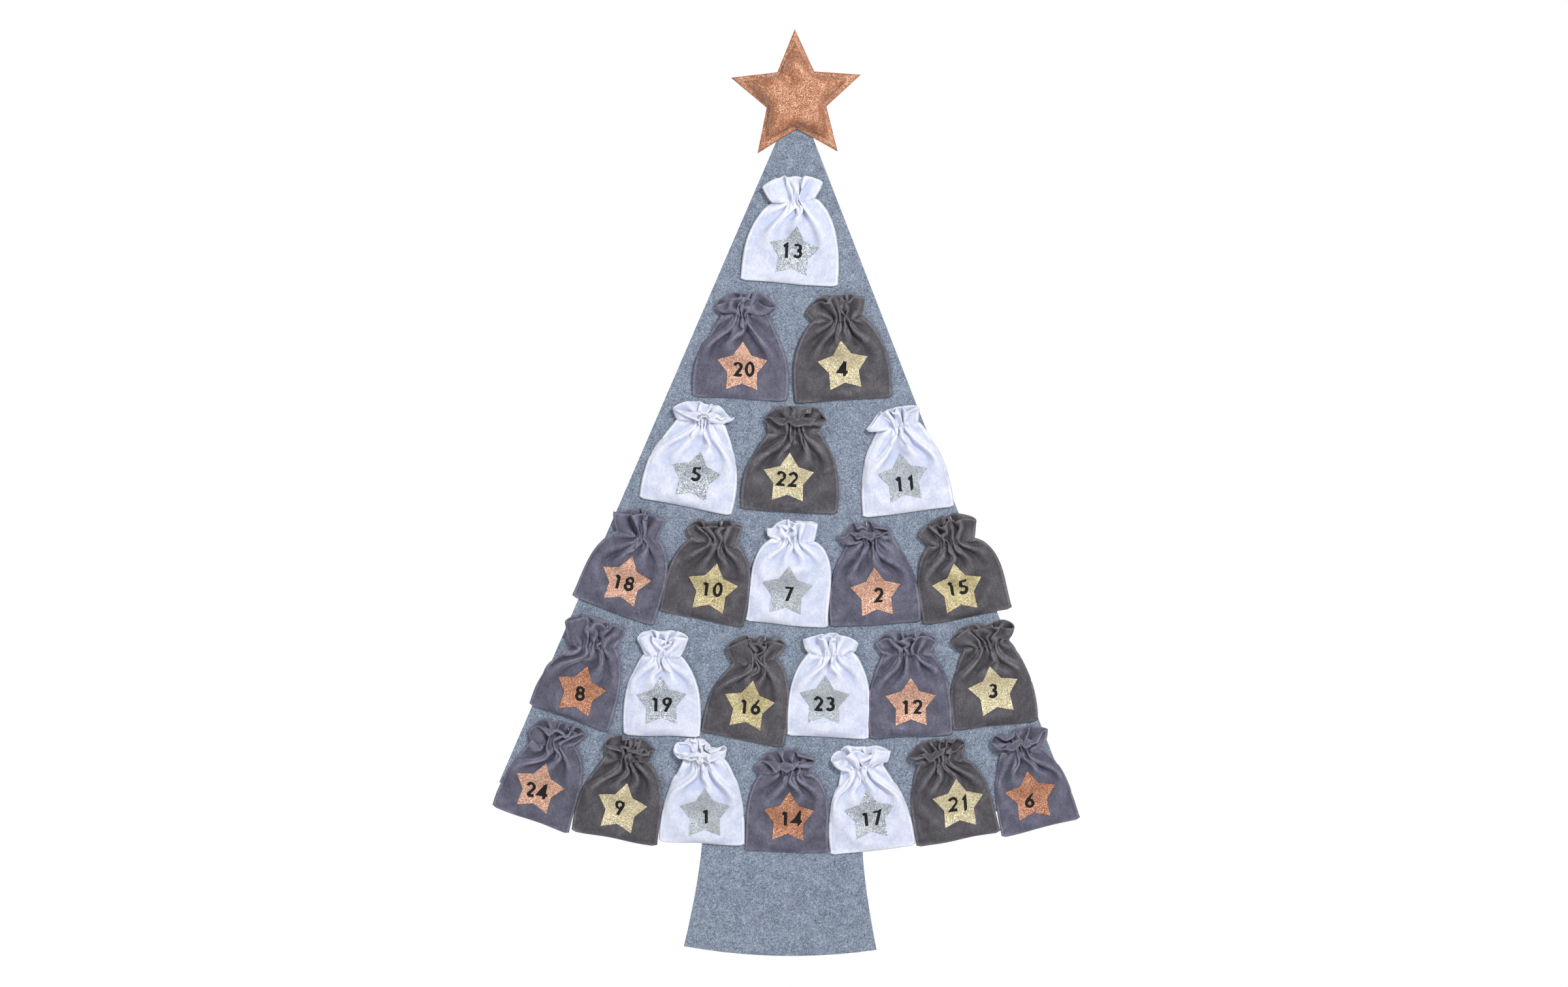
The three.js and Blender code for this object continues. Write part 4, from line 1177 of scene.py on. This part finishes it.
def stroke_areas(points):
    """A broad stroke along a line of points, with mitred corners."""
    points = divided(points, 2.0, closed=False)
    ways = np.diff(points, axis=0)
    ways /= np.linalg.norm(ways, axis=1, keepdims=True)
    first, second = np.vstack([ways[:1], ways]), np.vstack([ways, ways[-1:]])
    along = first + second
    along /= np.linalg.norm(along, axis=1, keepdims=True)
    reach = DIGIT_STROKE / 2 / (along * first).sum(axis=1)
    side = np.column_stack([-along[:, 1], along[:, 0]]) * reach[:, None]
    return quads(points + side, points - side)


def quads(inner, outer):
    """Four-sided areas between two lines of points, with the inner one on the left."""
    return [np.array([inner[i], outer[i], outer[i + 1], inner[i + 1]]) for i in range(len(inner) - 1)]


def make_pouches():
    """All pouches, hung in batches that fit in memory well."""
    for day, pouch in POUCHES.items():
        pouch.update(hung_frame(day))
        (left, low), (right, high) = pouch["neck"]
        pouch["neck_width"], pouch["neck_mid"] = right - left, (low + high) / 2
        pouch["ruffle"] = pouch["top"] - pouch["neck_mid"] + RUFFLE_SLACK
        pouch.setdefault("room", ROOM_ABOVE)
    days = list(POUCHES)
    batch = 6
    for first in range(0, len(days), batch):
        some = days[first:first + batch]
        hung = simulate([POUCHES[day] for day in some],
                        POUCH_STEPS)
        for day, points in zip(some, hung):
            sew_pouch(day, POUCHES[day], points.astype(float))


# The padded star


def puffed(flat, triangles, seam):
    """The heights of a sewn star cloth that is stuffed from behind, by simulation: the cloth is
    cut larger than the outline it is sewn to, so it puffs and puckers at its notches."""
    loose = inside(flat, seam)
    edges = edges_of(triangles)
    a, b = edges.T
    rest = np.linalg.norm(flat[a] - flat[b], axis=1) * STAR_SLACK
    points = np.column_stack([flat, np.where(loose, 0.5, 0.0) + rng.normal(0, STAR_UNEVEN, len(flat))])
    previous = points.copy()
    share = 1 / np.maximum(np.bincount(edges.ravel(), minlength=len(flat)), 1)
    for _ in range(STAR_STEPS):
        speed = (points - previous) * STAR_SPEED_KEPT
        previous = points.copy()
        points += speed
        p0, p1, p2 = (points[triangles[:, i]] for i in range(3))
        push = np.cross(p1 - p0, p2 - p0) * STAR_PRESSURE
        for i in range(3):
            np.add.at(points, triangles[:, i], push)
        for _ in range(STAR_WEAVE_ROUNDS):
            gap = points[b] - points[a]
            size = np.linalg.norm(gap, axis=1)
            move = gap * ((size - rest) / size * 0.5)[:, None]
            np.add.at(points, a, move * share[a][:, None] * STAR_WEAVE_PULL)
            np.add.at(points, b, -move * share[b][:, None] * STAR_WEAVE_PULL)
        points[~loose] = np.column_stack([flat[~loose], np.zeros((~loose).sum())])
        points[:, 2] = np.clip(points[:, 2], 0, STAR_PUFF)
    for start, end, depth, width in STAR_DENTS:
        way = np.subtract(end, start)
        share = np.clip((flat - start) @ way / (way @ way), 0, 1)
        away = np.linalg.norm(flat - start - share[:, None] * way, axis=1)
        puff = (points[:, 2] / STAR_PUFF).clip(0, 1) ** 0.5
        points[:, 2] -= depth * np.exp(-(away / width) ** 2) * puff
    step = STAR_STEP * (1 - np.exp(-edge_distance(flat, seam) / STAR_STEP_WIDTH))
    points[:, 2] += np.where(loose, step, 0.0)
    points[:, 2] = np.maximum(points[:, 2], np.where(loose, 0.1, 0.0))
    return points


def star_place(flat, out):
    """Points of the star's plane, so many millimetres out from its felt back, in the shared frame."""
    return np.column_stack([flat[:, 0] * MM, np.broadcast_to((STAR_BACK_FRONT - out) * MM, len(flat)),
                            (flat[:, 1] - STAR_BELOW_EYE) * MM])


def padded_star():
    """The star's glitter cloth, sewn down along a flat rim, and what lies below it."""
    outline = star_outline(STAR_RADIUS, STAR_NOTCH, STAR_TURN)
    seam = outline * (1 - STAR_RIM / STAR_NOTCH)
    grid = staggered(outline.min(axis=0), outline.max(axis=0), STAR_GRID, STAR_GRID_ROW)
    grid = grid[inside(grid, outline)]
    clear = np.minimum(edge_distance(grid, outline), edge_distance(grid, seam)) > STAR_GRID / 2
    flat, triangles = triangulated([divided(outline, STAR_GRID)],
                                   np.vstack([grid[clear], divided(seam, STAR_GRID)]))
    points = puffed(flat, triangles, seam * 0.999)
    skin = star_place(points, points[:, 2] + STAR_SKIN / 2 + 0.2)
    front = make_piece("star_cloth", skin, triangles, "panel", ["copper_cloth"])
    thick = front.modifiers.new("cloth", "SOLIDIFY")
    thick.thickness, thick.offset = STAR_SKIN * MM, 0.0
    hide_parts("star_front")
    star_wadding(points, triangles, inside(flat, seam * 0.93))
    star_felt_back(outline)
    ring = divided(seam * 1.014, 0.55)
    stitches = round(len(ring) / 6)
    dashes = np.sin(2 * math.pi * stitches * np.arange(len(ring)) / len(ring))
    tube("star_topstitch", star_place(ring, STAR_SKIN + 0.1 + 0.35 * dashes), TOPSTITCH_RADIUS * MM,
         "panel", "copper_thread", sides=5, closed=True)


def star_wadding(points, triangles, within):
    """The wadding, which fills the star cloth up to just below its skin."""
    kept = within[triangles].all(axis=1)
    used = np.unique(triangles[kept])
    index = np.full(len(points), -1)
    index[used] = np.arange(len(used))
    wadding = slab("star_wadding", star_place(points[used], np.maximum(points[used, 2] - 1.4, 0.5)),
                   star_place(points[used], 0.15), index[triangles[kept]], "panel", ["wadding"])
    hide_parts("star_filling")


def star_felt_back(outline):
    """The flat felt star that the front is sewn to."""
    flat, triangles = filled(outline, FELT_GRID / MM)
    behind = slab("star_felt_back", star_place(flat, -0.3), star_place(flat, -1.3), triangles,
                  "panel", ["felt", "felt_cut"])
    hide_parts("star_back")


def hanging_cord():
    """The loop of cord behind the star, an upturned U that ends on the panel's top edge."""
    rise = LOOP_HALF * 1.33
    bend = [(-LOOP_HALF, 0), (-LOOP_HALF, rise), (LOOP_HALF, rise), (LOOP_HALF, 0)]
    t = np.linspace(0, 1, 40)[:, None]
    curve = sum(w * np.array(p) for w, p in zip(
        ((1 - t) ** 3, 3 * t * (1 - t) ** 2, 3 * t ** 2 * (1 - t), t ** 3), bend))
    left = np.column_stack([np.full(60, -LOOP_HALF), np.linspace(LOOP_FOOT, 0, 60)])
    right = left[::-1] * (-1, 1)
    flat = np.vstack([left[:-1], curve, right[1:]])
    path = np.column_stack([flat[:, 0], np.full(len(flat), LOOP_DEPTH), flat[:, 1]]) * MM
    cord = tube("hanging_cord", path, LOOP_CORD / (2 + 2 * STRAND_DEPTH) * MM, "panel", "cord",
                sides=12, lobes=3, twist=0.45)
    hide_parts("hanging_loop")


# Stage


def seen_rays(tree):
    """1 for the camera's own rays and for what it sees in gloss or through glass, or else 0."""
    ray = add_node(tree, "ShaderNodeLightPath")
    seen = ray.outputs["Is Camera Ray"]
    for kind in ("Is Glossy Ray", "Is Transmission Ray"):
        seen = add_node(tree, "ShaderNodeMath", {"operation": "MAXIMUM"}, {
            0: seen, 1: ray.outputs[kind]}).outputs[0]
    return seen


def studio():
    """A pale floor below the calendar, white surroundings and plain soft light."""
    corners = [(-FLOOR_SIDE, -FLOOR_FRONT), (FLOOR_SIDE, -FLOOR_FRONT),
               (FLOOR_SIDE, FLOOR_BACK), (-FLOOR_SIDE, FLOOR_BACK)]
    mesh = bpy.data.meshes.new("floor")
    mesh.from_pydata([(x, y, FLOOR_LEVEL) for x, y in corners], [], [range(4)])
    floor = add_object("floor", mesh)
    material, tree = new_material("matt_paper_floor", 0.9, Base_Color=linear("dedede"),
                                  Emission_Color=linear("ffffff"))
    paler = add_node(tree, "ShaderNodeMath", {"operation": "MULTIPLY"}, {
        0: seen_rays(tree), 1: FLOOR_PALER})
    shader = tree.nodes["Principled BSDF"]
    tree.links.new(paler.outputs[0], shader.inputs["Emission Strength"])
    mesh.materials.append(material)

    world = bpy.data.worlds.new("white room")
    bpy.context.scene.world = world
    world.use_nodes = True
    tree = world.node_tree
    plain = tree.nodes["Background"]
    plain.inputs["Color"].default_value = linear("ffffff")
    plain.inputs["Strength"].default_value = AMBIENT
    white = add_node(tree, "ShaderNodeBackground", inputs={"Color": linear("ffffff"), "Strength": 1.0})
    mixed = add_node(tree, "ShaderNodeMixShader", inputs={
        0: seen_rays(tree), 1: plain.outputs[0], 2: white.outputs[0]})
    tree.links.new(mixed.outputs[0], tree.nodes["World Output"].inputs["Surface"])

    for name, place, width, power in LIGHTS:
        light = bpy.data.lights.new(name, "AREA")
        light.size, light.energy = width, power
        lamp = add_object(name, light)
        lamp.location = place
        aim = Vector(LIT_POINT) - Vector(place)
        lamp.rotation_euler = aim.to_track_quat("-Z", "Y").to_euler()


def photo_camera():
    """A camera that frames the calendar as the photograph does, with the tree's lean."""
    camera = bpy.data.cameras.new("camera")
    camera.sensor_width = SENSOR
    camera.lens = SENSOR * CAMERA_DISTANCE / (PHOTO_WIDTH * MM_PER_PIXEL * MM)
    camera.clip_start, camera.clip_end = 0.1, 20.0
    eye = add_object("camera", camera)
    eye.location = (VIEW_CENTRE[0], -CAMERA_DISTANCE, VIEW_CENTRE[1])
    eye.rotation_euler = (math.radians(90), -math.radians(PHOTO_LEAN), 0)
    bpy.context.scene.camera = eye


photo_camera()
studio()
hanging_cord()
felt_tree()
padded_star()
make_pouches()

bpy.context.scene.view_settings.view_transform = "Standard"
bpy.context.view_layer.update()
